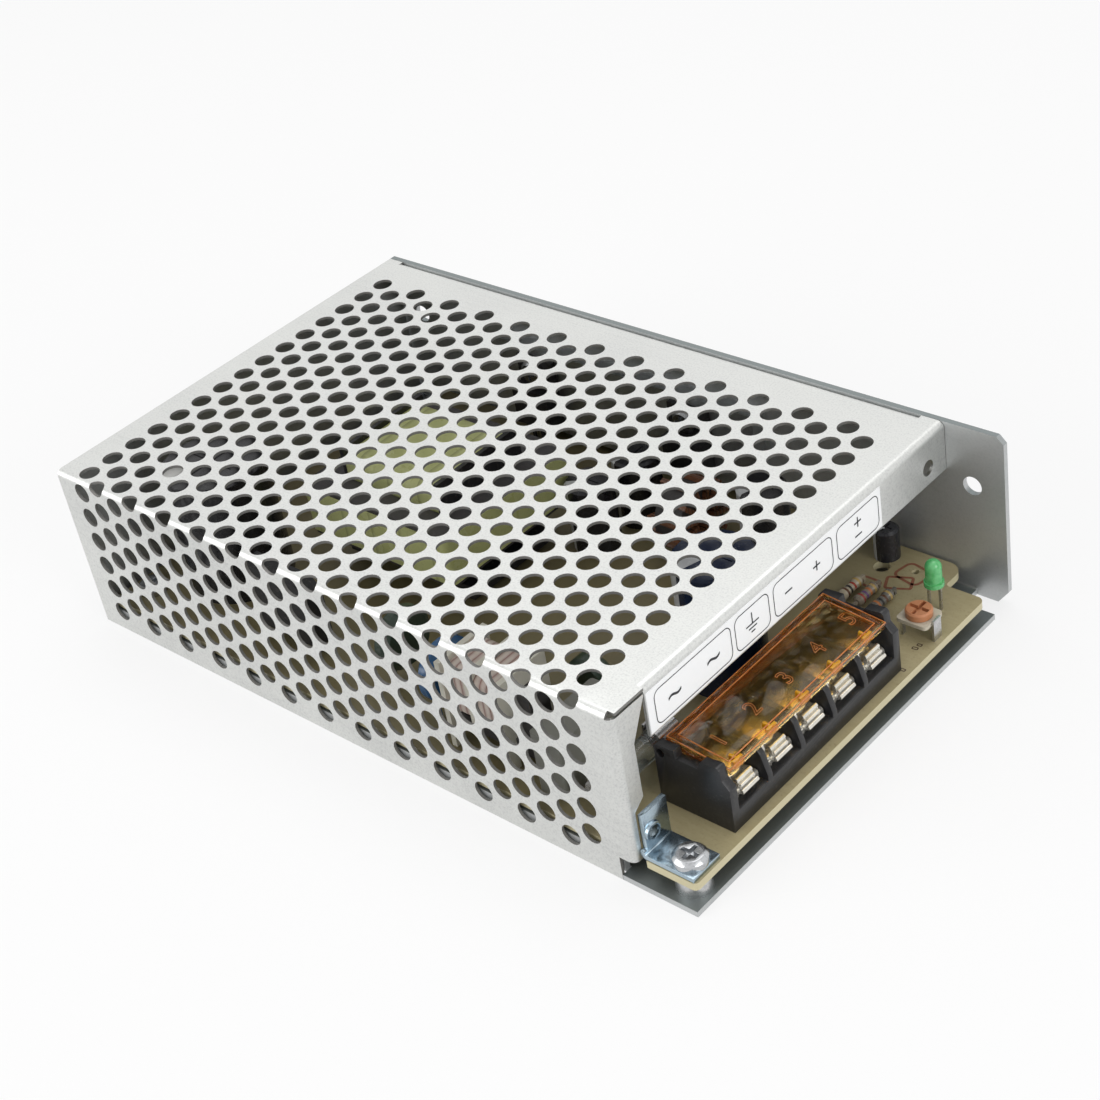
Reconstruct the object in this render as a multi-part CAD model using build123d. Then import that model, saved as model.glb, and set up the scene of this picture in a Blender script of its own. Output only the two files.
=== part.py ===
from build123d import *
from math import cos, pi, radians, sin, sqrt
import os

os.makedirs("parts", exist_ok=True)

# Enclosed switching power supply in a folded, perforated metal case. Millimetres.
# X runs towards the terminals, Y towards the plain tall wall, Z up.
# The origin is the middle of the case's footprint, at its underside.

# Case
case_length = 159.0
case_width = 98.0
case_height = 38.0
base_sheet = 1.2
cover_sheet = 0.8
sheet_gap = 0.1
fold_radius = 0.6
shelf_depth = 12.5
left_flange_height = 4.0
shelf_start_gap = 3.6
edge_chamfer = 1.5
rear_wall_gap = 2.0
cover_screw_insets = (28.0, 24.0)

# Notch in the base where the tall wall's fold stops, and the wall's mounting holes
notch_length = 7.0
notch_width = 6.2
wall_foot_cut = (2.3, 3.0)
wall_hole_radius = 2.0
wall_hole_inset = 7.0
wall_hole_height = 25.4

# Bottom mounting holes
foot_hole_radius = 1.75
foot_hole_spacing_x = 120.0
foot_hole_spacing_y = 74.0

# Perforation: staggered rows across the top, running on down the side past the fold
hole_pitch = 6.0
hole_radius = 2.15
hole_sides = 6
hole_rows = 26
holes_across_top = 15
first_row_inset = 7.2
first_hole_inset = 3.05
side_first_drop = 3.1
side_holes = 6

# Front lip, corner flange and the down-turned edge beside the tall wall
lip_height = 10.4
lip_left_inset = 8.4
lip_hole_radius = 1.65
lip_hole_inset = 5.8
lip_hole_height = 31.2
corner_relief_radius = 0.95
corner_slit = 0.3
corner_flange_width = 8.2
corner_flange_mid = 4.4
corner_flange_foot = 1.9
corner_taper_top = 1.5
corner_step = (0.6, 2.4)
corner_relief_inset = 0.45
corner_relief_depth = 1.6
side_notch_length = 3.7
side_notch_height = 5.4
edge_flange_depth = 6.5
edge_flange_inset = 4.0
label_thickness = 0.15
label_margin = 0.2
label_bottom_margin = 0.4
label_right = 26.4

# Board and what carries it
standoff_height = 3.2
standoff_radius = 3.25
standoff_spigot_radius = 2.1
board_thickness = 1.6
board_front_gap = 0.6
board_side_gap = 0.5
lobe_front = 70.2
lobe_step = 40.7
front_screw_x = 75.3
front_screw_inset = 3.4
rear_screw_x = -71.0
rear_screw_y = 41.0
spare_hole = (56.4, 39.8)
pilot_hole = (63.0, 41.5)
insulation_thickness = 0.4
insulation_gap = 1.0
insulation_front_gap = 8.0
insulation_wall_gap = 1.5
standoff_clearance = 0.5
board_corner = 1.0
lobe_corners = (1.5, 0.8, 3.0)
pilot_radius = 0.75
foot_notch = (1.7, 1.3, 3.2)
fit_gap = 0.05

# M3 screws
m3_radius = 1.45
m3_hole_radius = 1.7
m3_head_radius = 3.2
m3_head_height = 2.0
spreader_head_radius = 2.8
screw_end_gap = 0.1
cover_screw_reach = 3.5

# Pan heads: shares of the head's radius or height
head_edge_share = 0.35
recess_reach_share = 0.55
recess_width_share = 0.13
recess_floor_share = 0.4

# Earth bracket
bracket_sheet = 1.0
bracket_front_gap = 0.5
bracket_leg_length = 11.3
bracket_leg_width = 7.1
bracket_rise = 9.2
bracket_hole_radius = 1.3
bracket_fold = 0.3
bracket_side_gap = 0.1
bracket_ear_cut = (0.8, 0.6)
bracket_ear_spot = (2.6, 4.8)
bracket_collar = 0.6

# Terminal block
terminals = 5
terminal_pitch = 9.5
divider_thickness = 1.3
end_wall_thickness = 1.9
block_depth = 16.0
block_front_gap = 1.9
block_middle_y = -9.5
bay_floor_rise = 4.0
divider_rise = 11.4
block_rear_wall = 2.5
hinge_seat_gap = 0.4
divider_front = ((0.0, 5.0), (1.3, 9.3), (2.2, 10.3))
divider_back = 1.0
end_front = ((0.0, 9.4), (1.5, 10.9), (1.8, 13.6), (5.8, 13.1), (6.8, 11.4))
end_rear = ((4.8, 11.4), (4.5, 13.1), (0.0, 12.8))
block_round = 0.8
screw_well_gap = 0.4
screw_well_floor = 0.8
tab_seat = 0.4
tab_gaps = (3.3, 3.1)
clamp_lip_gap = 0.3
clamp_lip_rise = 0.2
clamp_edge = 0.8
clamp_groove = (1.6, 0.35, 0.25)
shank_floor = 1.6
tab_thickness = 1.0
tab_width = 7.4
clamp_thickness = 1.0
clamp_width = 7.6
clamp_length = 8.4
screw_setback = 6.0
m35_radius = 1.7
m35_head_radius = 3.1
m35_head_height = 2.1
thread_clearance = 0.05

# Hinged terminal cover
cover_plate = 1.2
cover_rise = 13.2
cover_slope = 6.0
hinge_setback = 1.4
hinge_rise = 11.2
hinge_barrel_radius = 1.2
hinge_pin_radius = 0.8
hinge_clearance = 0.05
cover_side_gap = 0.2
cover_rear_reach = 4.0
cover_front_edge = 0.4
cover_knee = 0.6
cover_arm = ((0.4, 0.96), (0.9, 0.2))
cover_rib = 0.4
cover_rib_depth = 0.5
skirt_thickness = 0.9
skirt_front = (0.6, 1.2)
skirt_rear = (1.2, 1.4)
pin_end_gap = 0.3

# Indicator lamp, trimmer and small parts beside the block
led_x = 72.3
led_y = 34.0
led_radius = 1.6
led_flange_radius = 1.95
led_stand = 5.5
led_body = 5.7
led_lead_pitch = 2.54
led_lead_half_width = 0.25
led_flange_height = 0.9
trimmer_x = 73.9
trimmer_y = 26.4
trimmer_plate_x = 6.6
trimmer_plate_y = 6.0
trimmer_plate_height = 3.4
trimmer_plate_thickness = 0.8
rotor_radius = 2.6
rotor_height = 1.5
spindle_radius = 0.7
trimmer_corner = 0.8
trimmer_leg_inset = 0.5
trimmer_leg_sheet = 0.5
trimmer_leg_width = 1.0
trimmer_clip_width = 2.4
trimmer_clip_reach = 1.6
trimmer_clip_sheet = 0.5
trimmer_clip_gap = 0.4
trimmer_clip_rise = 1.2
rotor_edge = 0.3
rotor_slot_half_width = 0.4
rotor_slot_floor = 0.6
rotor_slot_reach = 0.8
spindle_reach = 0.6
resistor_radius = 1.15
resistor_length = 6.2
resistor_waist = 0.82
resistor_tip = 0.6
resistor_bulge = (0.5, 1.5, 1.9)
resistor_lead_reach = 1.2
resistor_spots = ((56.0, 29.8), (59.6, 29.8), (63.4, 29.4))

# Transformer
transformer_x = -24.0
transformer_y = 1.5
core_length = 40.0
core_width = 36.0
core_thickness = 12.0
core_yoke = 6.0
core_leg = 6.0
core_centre_leg = 11.0
core_corner = 1.0
core_base_rise = 9.0
coil_wall = 5.6
bobbin_wall = 1.0
tape_thickness = 0.3
tape_margin = 0.8
core_fit = 0.1
yoke_gap = 0.2
flange_gap = 0.3
flange_reach = 0.8
rail_bottom = 1.2
rail_overlap = 1.0
rail_length = 4.0
rail_pin_inset = 2.5
rail_pin_pitch = 4.0
rail_pin_reach = 0.3
coil_gap = 0.4
coil_end_gap = 0.05
coil_round = 3.0

# Mains choke
choke_x = 26.5
choke_y = -37.0
choke_core_length = 22.0
choke_leg = 5.0
choke_coil_length = 15.0
choke_coil_size = 13.0
choke_rise = 6.5
choke_core_stand = 1.4
choke_yoke = 3.2
choke_sleeve = 0.8
choke_flange = 1.2
choke_foot = 1.2
choke_wire_depth = 1.0
choke_wire_round = 2.0

# Capacitors: x, y, radius, height
main_capacitor = (-58.0, -27.0, 11.0, 28.0)
output_capacitors = (
    (50.0, -1.0, 8.0, 27.0),
    (1.8, 18.5, 5.0, 15.5),
    (4.0, 30.5, 5.0, 15.5),
    (38.0, 28.5, 5.0, 20.0),
)
small_capacitor = (55.3, 43.4, 2.6, 6.8)
disc_capacitor_radius = 6.5
disc_capacitor_thickness = 4.0
disc_capacitor_spots = ((12.0, -35.5), (-2.0, -33.0))
disc_capacitor_edge = 1.2
disc_capacitor_stand = 3.0
disc_lead_reach = 3.75
lead_radius = 0.3
can_edge = 0.5
vent_depth = 0.25
vent_half_width = 0.15
vent_reach = 0.55

# Output choke
toroid_x = 20.0
toroid_y = 27.0
toroid_radius = 7.0
toroid_bore = 3.6
toroid_width = 6.5
toroid_stand = 1.4
toroid_wire = 1.0
toroid_turns = 12

# Box capacitor across the mains: x limits, y limits, height
x_capacitor_box = (41.0, 48.0, -44.0, -27.0)
x_capacitor_height = 13.5
x_capacitor_edge = 0.6

# Fuse
fuse_x = 54.5
fuse_y = -33.0
fuse_radius = 2.6
fuse_length = 20.0
fuse_axis_rise = 5.0
fuse_cap_wall = 0.2
fuse_cap_length = 5.0
fuse_cap_end = 0.3
fuse_clip_sheet = 0.45
fuse_clip_gap = 0.05
fuse_clip_half_length = 1.5
fuse_clip_inset = 2.4
fuse_clip_rise = 2.0

# Thermistor: x, y, radius, stand
thermistor_spot = (36.0, -22.0)
thermistor_radius = 5.0
thermistor_thickness = 4.0
thermistor_edge = 0.8
thermistor_stand = 2.5
thermistor_lead_reach = 3.0

# Bridge rectifier
bridge_spot = (-30.0, -37.0)
bridge_length = 18.0
bridge_height = 14.5
bridge_thickness = 4.4
bridge_stand = 3.0
bridge_corner = 2.5
bridge_lead_pitch = 4.4

# Heat spreader and the power parts on it
spreader_x = (-46.0, 24.0)
spreader_thickness = 3.4
spreader_height = (2.0, 22.0)
power_parts_x = (-34.0, 8.0)
power_part_half_width = 5.0
power_part_stand = 4.8
power_body_height = 9.0
power_body_thickness = 4.4
power_tab_height = 6.6
power_tab_thickness = 1.3
power_hole_rise = 12.8
power_lead_half_width = 0.4
power_lead_setback = (2.1, 2.6)

# Chips: x, y, length, pins
control_chip = (-58.0, 22.0, 9.4, 8)
optocoupler = (-8.0, 30.0, 4.8, 4)
pin_pitch = 2.54
chip_half_width = 3.2
chip_height = 3.3
chip_stand = 0.8
chip_pin_reach = 3.9
chip_pin_half_width = 0.3
chip_pin_rise = (1.0, 1.3)
chip_mark_radius = 0.6
chip_mark_inset = 1.2
chip_mark_depth = 0.3

# Front face and edges, worked out once
front = case_length / 2
rear = -front
right = case_width / 2
left = -right
wall_inner = right - base_sheet
fold_outer = fold_radius + base_sheet
cover_under = case_height - cover_sheet
cover_fold_outer = fold_radius + cover_sheet
cover_right = wall_inner - sheet_gap
side_inner = left + cover_sheet
base_left = side_inner + sheet_gap
lip_face = front - shelf_depth
lip_back = lip_face - cover_sheet
lip_left = left + lip_left_inset
lip_bottom = case_height - lip_height
shelf_start = lip_face - shelf_start_gap
board_bottom = base_sheet + standoff_height
board_top = board_bottom + board_thickness
board_front = front - board_front_gap
board_left = side_inner + board_side_gap
board_right = wall_inner - board_side_gap
board_rear = rear + base_sheet + rear_wall_gap
front_screw_y = board_left + front_screw_inset
block_front = board_front - block_front_gap
block_rear = block_front - block_depth
block_length = terminals * terminal_pitch - divider_thickness + 2 * end_wall_thickness
block_left = block_middle_y - block_length / 2
block_right = block_middle_y + block_length / 2
bay_floor = board_top + bay_floor_rise
tab_top = bay_floor + tab_thickness
clamp_top = tab_top + clamp_thickness
hinge_x = block_rear + hinge_setback
hinge_z = board_top + hinge_rise
terminal_x = block_front - screw_setback
row_step = hole_pitch * sqrt(3) / 2


def block(x0, x1, y0, y1, z0, z1):
    """A box given by its limits."""
    return Pos((x0 + x1) / 2, (y0 + y1) / 2, (z0 + z1) / 2) * Box(x1 - x0, y1 - y0, z1 - z0)


def post(x, y, z0, z1, radius):
    """An upright round bar."""
    return Pos(x, y, (z0 + z1) / 2) * Cylinder(radius, z1 - z0)


def bar_y(x, z, y0, y1, radius):
    """A round bar along Y."""
    return Pos(x, (y0 + y1) / 2, z) * Rot(90, 0, 0) * Cylinder(radius, y1 - y0)


def bar_x(y, z, x0, x1, radius):
    """A round bar along X."""
    return Pos((x0 + x1) / 2, y, z) * Rot(0, 90, 0) * Cylinder(radius, x1 - x0)


def outline(points, corners=()):
    """A closed flat outline whose named corners are rounded: (x, y, radius)."""
    face = make_face(Polyline(*points, close=True))
    for x, y, radius in corners:
        corner = face.vertices().sort_by_distance((x, y, 0))[0]
        face = fillet(corner, radius)
    return face


def along_x(face, x0, x1):
    """A Y-Z outline drawn out along X."""
    return extrude(Plane.YZ.offset(x0) * face, x1 - x0)


def along_y(face, y0, y1):
    """An X-Z outline drawn out along Y."""
    return extrude(Plane.XZ.offset(-y1) * face, y1 - y0)


def along_z(face, z0, z1):
    """An X-Y outline drawn out along Z."""
    return extrude(Plane.XY.offset(z0) * face, z1 - z0)


def lead(x, y, top):
    """A square lead from the board up to a part's body."""
    return block(x - lead_radius, x + lead_radius, y - lead_radius, y + lead_radius, board_top, top)


def bay_middle(number):
    """Y of one terminal's middle, counted from the perforated side."""
    return block_middle_y + (number - (terminals - 1) / 2) * terminal_pitch


# Base chassis


def base_chassis():
    """Bottom plate, tall wall, rear wall and low left flange, folded from one sheet."""
    low = base_sheet
    tall_wall = [(right, 0), (right, case_height), (wall_inner, case_height), (wall_inner, low)]
    wall_folds = [(right, 0, fold_outer), (wall_inner, low, fold_radius)]
    flange_inner = base_left + low
    channel = outline(
        [(base_left, left_flange_height), (base_left, 0)] + tall_wall
        + [(flange_inner, low), (flange_inner, left_flange_height)],
        wall_folds + [(base_left, 0, fold_outer), (flange_inner, low, fold_radius)],
    )
    shelf = outline([(left, 0)] + tall_wall + [(left, low)], wall_folds)
    back_top = cover_under - sheet_gap
    back_inner = rear + low
    foot = rear + fold_outer + fit_gap
    back = outline(
        [(rear, 0), (foot, 0), (foot, low), (back_inner, low), (back_inner, back_top), (rear, back_top)],
        [(rear, 0, fold_outer), (back_inner, low, fold_radius)],
    )
    body = along_x(channel, rear + fold_outer, shelf_start)
    body += along_x(shelf, shelf_start, front)
    body += along_y(back, base_left, wall_inner - corner_slit)
    # The rear wall's top corner follows the inside of the cover's fold
    corner_cut = outline([(base_left - 0.01, back_top + 0.01), (base_left + 1.0, back_top + 0.01),
                          (base_left - 0.01, back_top - 1.0)])
    body -= along_x(corner_cut, rear - 1, back_inner + 1)
    body += block(rear, rear + fold_outer, wall_inner, right, fold_outer, case_height)
    notch_rear = front - notch_length
    body -= block(notch_rear, front + 1, right - notch_width, right + 1, -1, fold_outer)
    body += block(notch_rear, front, wall_inner, right, 0, fold_outer)
    foot_x, foot_z = wall_foot_cut
    foot_cut = outline([(front - foot_x, -0.01), (front + 0.01, -0.01), (front + 0.01, foot_z)])
    body -= along_y(foot_cut, wall_inner - 1, right + 1)
    brow_cut = outline([(front - edge_chamfer, case_height + 0.01), (front + 0.01, case_height + 0.01),
                        (front + 0.01, case_height - edge_chamfer)])
    body -= along_y(brow_cut, wall_inner - 1, right + 1)
    for x in (front - wall_hole_inset, rear + wall_hole_inset):
        body -= bar_y(x, wall_hole_height, wall_inner - 1, right + 1, wall_hole_radius)
    for x, y in foot_spots():
        body -= post(x, y, -1, low + 1, foot_hole_radius)
    for x, y in standoff_spots():
        body -= post(x, y, -1, low + 1, standoff_spigot_radius + fit_gap)
    for x in cover_screw_spots():
        body -= countersink(x, cover_screw_z(), fit_gap)
    for x, z in spreader_screw_spots():
        body -= bar_y(x, z, wall_inner - 1, right + 1, m3_radius + fit_gap)
    return body


def standoff_spots():
    """Where the board is screwed down."""
    return (
        (front_screw_x, front_screw_y),
        (rear_screw_x, rear_screw_y),
        (rear_screw_x, -rear_screw_y),
    )


def foot_spots():
    """Where the case is screwed to what carries it."""
    half_x = foot_hole_spacing_x / 2
    half_y = foot_hole_spacing_y / 2
    return [(x, y) for x in (-half_x, half_x) for y in (-half_y, half_y)]


def cover_screw_spots():
    """X of the screws that hold the cover to the tall wall."""
    return (rear + cover_screw_insets[0], lip_face - cover_screw_insets[1])


def cover_screw_z():
    return case_height - edge_flange_depth / 2 - cover_sheet / 2


def countersink(x, z, gap):
    """The flush cone of a flat-head screw in the tall wall."""
    cone = Cone(m3_radius + base_sheet + gap, m3_radius + gap, base_sheet)
    return Pos(x, right - base_sheet / 2, z) * Rot(90, 0, 0) * cone


# Perforated cover


def perforation_rows():
    """X of each row of holes, with True where the row is the odd, shifted one."""
    return [(rear + first_row_inset + row_step * row, row % 2 == 1) for row in range(hole_rows)]


def perforation_hole():
    """A many-sided hole of the same area as the round one it stands for."""
    wedge = 2 * pi / hole_sides
    reach = hole_radius * sqrt(wedge / sin(wedge))
    return RegularPolygon(reach, hole_sides)


def perforated_cover():
    """Top, left side, front lip, corner flange and edge flange, folded from one sheet."""
    t = cover_sheet
    run = 3.0
    angle = outline(
        [(left, 0), (left, case_height), (cover_right, case_height), (cover_right, cover_under),
         (side_inner, cover_under), (side_inner, 0)],
        [(left, case_height, cover_fold_outer), (side_inner, cover_under, fold_radius)],
    )
    body = along_x(angle, rear, lip_face)

    lip = outline(
        [(lip_face - run, case_height), (lip_face, case_height), (lip_face, lip_bottom),
         (lip_back, lip_bottom), (lip_back, cover_under), (lip_face - run, cover_under)],
        [(lip_face, case_height, cover_fold_outer), (lip_back, cover_under, fold_radius)],
    )
    body -= block(lip_face - run, lip_face + 1, lip_left, cover_right + 1, cover_under - 1, case_height + 1)
    body += along_y(lip, lip_left, cover_right)

    edge_bottom = case_height - edge_flange_depth
    edge = outline(
        [(cover_right - run, case_height), (cover_right, case_height), (cover_right, edge_bottom),
         (cover_right - t, edge_bottom), (cover_right - t, cover_under), (cover_right - run, cover_under)],
        [(cover_right, case_height, cover_fold_outer), (cover_right - t, cover_under, fold_radius)],
    )
    edge_rear = rear + edge_flange_inset
    edge_front = lip_back - edge_flange_inset
    body -= block(edge_rear, edge_front, cover_right - run, cover_right + 1, cover_under - 1, case_height + 1)
    body += along_x(edge, edge_rear, edge_front)

    flange_right = left + corner_flange_width
    flange_top = cover_under - corner_slit
    corner = outline(
        [(lip_face - run, left), (lip_face, left), (lip_face, flange_right), (lip_back, flange_right),
         (lip_back, side_inner), (lip_face - run, side_inner)],
        [(lip_face, left, cover_fold_outer), (lip_back, side_inner, fold_radius)],
    )
    body -= block(lip_face - run, lip_face + 1, left - 1, side_inner + 1, -1, flange_top)
    body += along_z(corner, 0, flange_top)

    # The corner flange narrows in two steps, the lower one clear of the earth bracket
    mid = left + corner_flange_mid
    foot = left + corner_flange_foot
    step_bottom = board_top + bracket_rise + corner_step[0]
    step_top = board_top + bracket_rise + corner_step[1]
    taper_top = case_height - corner_taper_top
    taper = outline(
        [(flange_right, taper_top), (mid, lip_bottom + corner_taper_top), (mid, step_top),
         (foot, step_bottom), (foot, -1), (flange_right + 1, -1), (flange_right + 1, taper_top)]
    )
    body -= along_x(taper, lip_back - 0.01, lip_face + 1)
    notch_x = lip_face - side_notch_length
    foot_notch = outline(
        [(notch_x, -1), (lip_face + 1, -1), (lip_face + 1, side_notch_height),
         (notch_x, side_notch_height)]
    )
    body -= along_y(foot_notch, left - 1, flange_right)
    body -= post(lip_face - corner_relief_inset, left + corner_relief_inset, cover_under - corner_relief_depth,
                 case_height + 1, corner_relief_radius)
    body -= bar_x(cover_right - lip_hole_inset, lip_hole_height, lip_back - 1, lip_face + 1,
                  lip_hole_radius)
    for x in cover_screw_spots():
        body -= bar_y(x, cover_screw_z(), cover_right - t - 1, cover_right + 1, m3_radius + fit_gap)

    top_spots = []
    side_spots = []
    top_y = left + first_hole_inset
    side_z = case_height - side_first_drop
    for x, shifted in perforation_rows():
        shift = hole_pitch / 2 if shifted else 0.0
        top_spots += [Pos(x, top_y + shift + hole_pitch * n) for n in range(holes_across_top)]
        count = side_holes - 1 if shifted else side_holes
        side_spots += [Pos(x, side_z - shift - hole_pitch * n) for n in range(count)]
        if shifted:
            # One hole of each shifted row is wrapped over the fold itself
            top_spots.append(Pos(x, top_y - shift))
            side_spots.append(Pos(x, side_z + shift))
    hole = perforation_hole()
    top_cut = Sketch() + [spot * hole for spot in top_spots]
    body -= extrude(Plane.XY.offset(cover_under - 0.6) * top_cut, cover_sheet + 1.2)
    side_cut = Sketch() + [spot * hole for spot in side_spots]
    body -= extrude(Plane.XZ.offset(-side_inner - 0.6) * side_cut, cover_sheet + 1.2)
    return body


def terminal_label():
    """White film on the lip."""
    top = case_height - cover_fold_outer
    return block(lip_face, lip_face + label_thickness, lip_left + label_margin, label_right,
                 lip_bottom + label_bottom_margin, top)


# Board, its fixings and the earth bracket


def insulating_sheet():
    """Fibre sheet on the bottom plate, under the board."""
    body = block(
        rear + fold_outer + insulation_gap, lip_back - insulation_front_gap,
        base_left + fold_outer + insulation_gap, wall_inner - insulation_wall_gap,
        base_sheet, base_sheet + insulation_thickness,
    )
    for x, y in standoff_spots():
        body -= post(x, y, 0, board_bottom, standoff_radius + standoff_clearance)
    for x, y in foot_spots():
        body -= post(x, y, 0, board_bottom, foot_hole_radius + insulation_gap)
    return body


def pcb():
    """Phenolic board with a step at its front right corner, beside the wall's notch."""
    shape = outline(
        [(board_rear, board_left), (board_front, board_left), (board_front, lobe_step),
         (lobe_front, lobe_step), (lobe_front, board_right), (board_rear, board_right)],
        [(board_front, board_left, board_corner), (board_rear, board_left, board_corner),
         (board_rear, board_right, board_corner), (board_front, lobe_step, lobe_corners[0]),
         (lobe_front, lobe_step, lobe_corners[1]), (lobe_front, board_right, lobe_corners[2])],
    )
    body = along_z(shape, board_bottom, board_top)
    for x, y in standoff_spots():
        body -= post(x, y, board_bottom - 1, board_top + 1, m3_hole_radius)
    body -= post(*spare_hole, board_bottom - 1, board_top + 1, m3_hole_radius)
    body -= post(*pilot_hole, board_bottom - 1, board_top + 1, pilot_radius)
    # Notch for the foot of the cover's corner flange
    back_gap, front_gap, width = foot_notch
    body -= block(lip_back - back_gap, lip_face + front_gap, board_left - 1, board_left + width,
                  board_bottom - 1, board_top + 1)
    return body


def standoffs():
    """Round standoffs riveted into the bottom plate."""
    bodies = []
    for x, y in standoff_spots():
        pillar = post(x, y, base_sheet, board_bottom, standoff_radius)
        pillar += post(x, y, 0, base_sheet, standoff_spigot_radius)
        bodies.append(pillar - post(x, y, -1, board_bottom + 1, m3_radius + fit_gap))
    return bodies


def pan_screw(x, y, seat, length, shank, head_radius, head_height):
    """Pan-head screw with a cross recess, its head on the seat and its shank below."""
    head = post(x, y, seat, seat + head_height, head_radius)
    head = chamfer(head.edges().group_by(Axis.Z)[-1], head_height * head_edge_share)
    arm = head_radius * recess_reach_share
    slot = head_radius * recess_width_share
    recess_floor = seat + head_height * recess_floor_share
    recess = block(x - arm, x + arm, y - slot, y + slot, recess_floor, seat + head_height + 1)
    recess += block(x - slot, x + slot, y - arm, y + arm, recess_floor, seat + head_height + 1)
    return head - recess + post(x, y, seat - length, seat, shank)


def pcb_screws():
    """M3 screws through the board; the front one also holds the earth bracket."""
    screws = []
    for number, (x, y) in enumerate(standoff_spots()):
        lift = bracket_sheet if number == 0 else 0.0
        seat = board_top + lift
        screws.append(pan_screw(x, y, seat, seat - base_sheet, m3_radius, m3_head_radius, m3_head_height))
    return screws


def earth_bracket():
    """Zinc-plated angle on the board's front corner, with a tapped ear behind the lip."""
    leg_front = board_front - bracket_front_gap
    leg_rear = leg_front - bracket_leg_length
    leg_left = board_left + bracket_side_gap
    leg_right = leg_left + bracket_leg_width
    top = board_top + bracket_rise
    t = bracket_sheet
    angle = outline(
        [(leg_rear, board_top), (leg_front, board_top), (leg_front, board_top + t),
         (leg_rear + t, board_top + t), (leg_rear + t, top), (leg_rear, top)],
        [(leg_rear, board_top, t + bracket_fold), (leg_rear + t, board_top + t, bracket_fold)],
    )
    body = along_y(angle, leg_left, leg_right)
    # The ear stands clear of the cover's side fold
    cut_width, cut_rise = bracket_ear_cut
    body -= block(leg_rear - 1, leg_rear + t + bracket_fold, leg_left - 1, leg_left + cut_width,
                  board_top + t + cut_rise, top + 1)
    ear_y = leg_left + bracket_ear_spot[0]
    ear_z = board_top + bracket_ear_spot[1]
    collar = bar_x(ear_y, ear_z, leg_rear + t, leg_rear + t + bracket_collar,
                   bracket_hole_radius + bracket_collar)
    body += collar
    body -= bar_x(ear_y, ear_z, leg_rear - 1, leg_rear + t + 2, bracket_hole_radius)
    body -= post(front_screw_x, front_screw_y, board_top - 1, board_top + t + 1, m3_hole_radius)
    return body


# Terminal block, its metal and its cover


def terminal_block():
    """Black moulding: a floor, a rear wall, dividers and two end walls with flags."""
    wall_front = block_rear + block_rear_wall
    body = block(block_rear, block_front, block_left, block_right, board_top, bay_floor)
    rear_top = hinge_z - hinge_barrel_radius - hinge_seat_gap
    body += block(block_rear, wall_front, block_left, block_right, bay_floor, rear_top)
    divider_top = board_top + divider_rise
    divider_nose = [(block_front - back, board_top + rise) for back, rise in divider_front]
    divider = outline(
        [(block_rear, bay_floor - 1), (block_front, bay_floor - 1)] + divider_nose
        + [(wall_front + divider_back, divider_top), (wall_front, rear_top), (block_rear, rear_top)],
        [(*divider_nose[1], block_round)],
    )
    end_nose = [(block_front - back, board_top + rise) for back, rise in end_front]
    end_back = [(block_rear + ahead, board_top + rise) for ahead, rise in end_rear]
    end_wall = outline(
        [(block_rear, board_top), (block_front, board_top)] + end_nose + end_back,
        [(*end_nose[2], block_round), (*end_back[2], block_round)],
    )
    half = divider_thickness / 2
    for number in range(terminals - 1):
        y = (bay_middle(number) + bay_middle(number + 1)) / 2
        body += along_y(divider, y - half, y + half)
    body += along_y(end_wall, block_left, block_left + end_wall_thickness)
    body += along_y(end_wall, block_right - end_wall_thickness, block_right)
    for number in range(terminals):
        y = bay_middle(number)
        body -= post(terminal_x, y, board_top + screw_well_floor, bay_floor + 1, m35_radius + screw_well_gap)
        # A shallow seat keeps each contact tab from turning
        body -= block(tab_rear(), tab_front(), y - tab_width / 2 - fit_gap, y + tab_width / 2 + fit_gap,
                      bay_floor - tab_seat, bay_floor + 1)
    body -= bar_y(hinge_x, hinge_z, block_left - 1, block_right + 1, hinge_pin_radius + hinge_clearance)
    return body


def tab_rear():
    return block_rear + tab_gaps[0]


def tab_front():
    return block_front - tab_gaps[1]


def terminal_tabs():
    """Nickel-plated contact tabs, each tapped for its screw and seated in the bay's floor."""
    bodies = []
    for number in range(terminals):
        y = bay_middle(number)
        tab = block(tab_rear(), tab_front(), y - tab_width / 2, y + tab_width / 2,
                    bay_floor - tab_seat, tab_top)
        bodies.append(tab - post(terminal_x, y, bay_floor - 2, tab_top + 1, m35_radius + thread_clearance))
    return bodies


def clamp_plate(number):
    """Wire clamp under one terminal screw, its front edge turned down over the wire."""
    y = bay_middle(number)
    half = clamp_width / 2
    plate_front = terminal_x + clamp_length / 2
    plate_rear = terminal_x - clamp_length / 2
    lip_inner = tab_front() + clamp_lip_gap
    lip_low = bay_floor + clamp_lip_rise
    profile = outline(
        [(plate_rear, tab_top), (lip_inner, tab_top), (lip_inner, lip_low), (plate_front, lip_low),
         (plate_front, clamp_top), (plate_rear, clamp_top)],
        [(plate_front, clamp_top, clamp_edge)],
    )
    plate = along_y(profile, y - half, y + half)
    # Two grooves across the front edge grip the wire
    spot, groove, depth = clamp_groove
    for side in (-1, 1):
        plate -= block(plate_front - depth, plate_front + 1, y + side * spot - groove, y + side * spot + groove,
                       bay_floor - 1, clamp_top + 1)
    return plate - post(terminal_x, y, tab_top - 1, clamp_top + 1, m35_radius + thread_clearance)


def terminal_screw(number):
    """M3.5 pan-head screw held captive by its clamp plate."""
    shank = clamp_top - (board_top + shank_floor)
    return pan_screw(terminal_x, bay_middle(number), clamp_top, shank, m35_radius, m35_head_radius,
                     m35_head_height)


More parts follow.
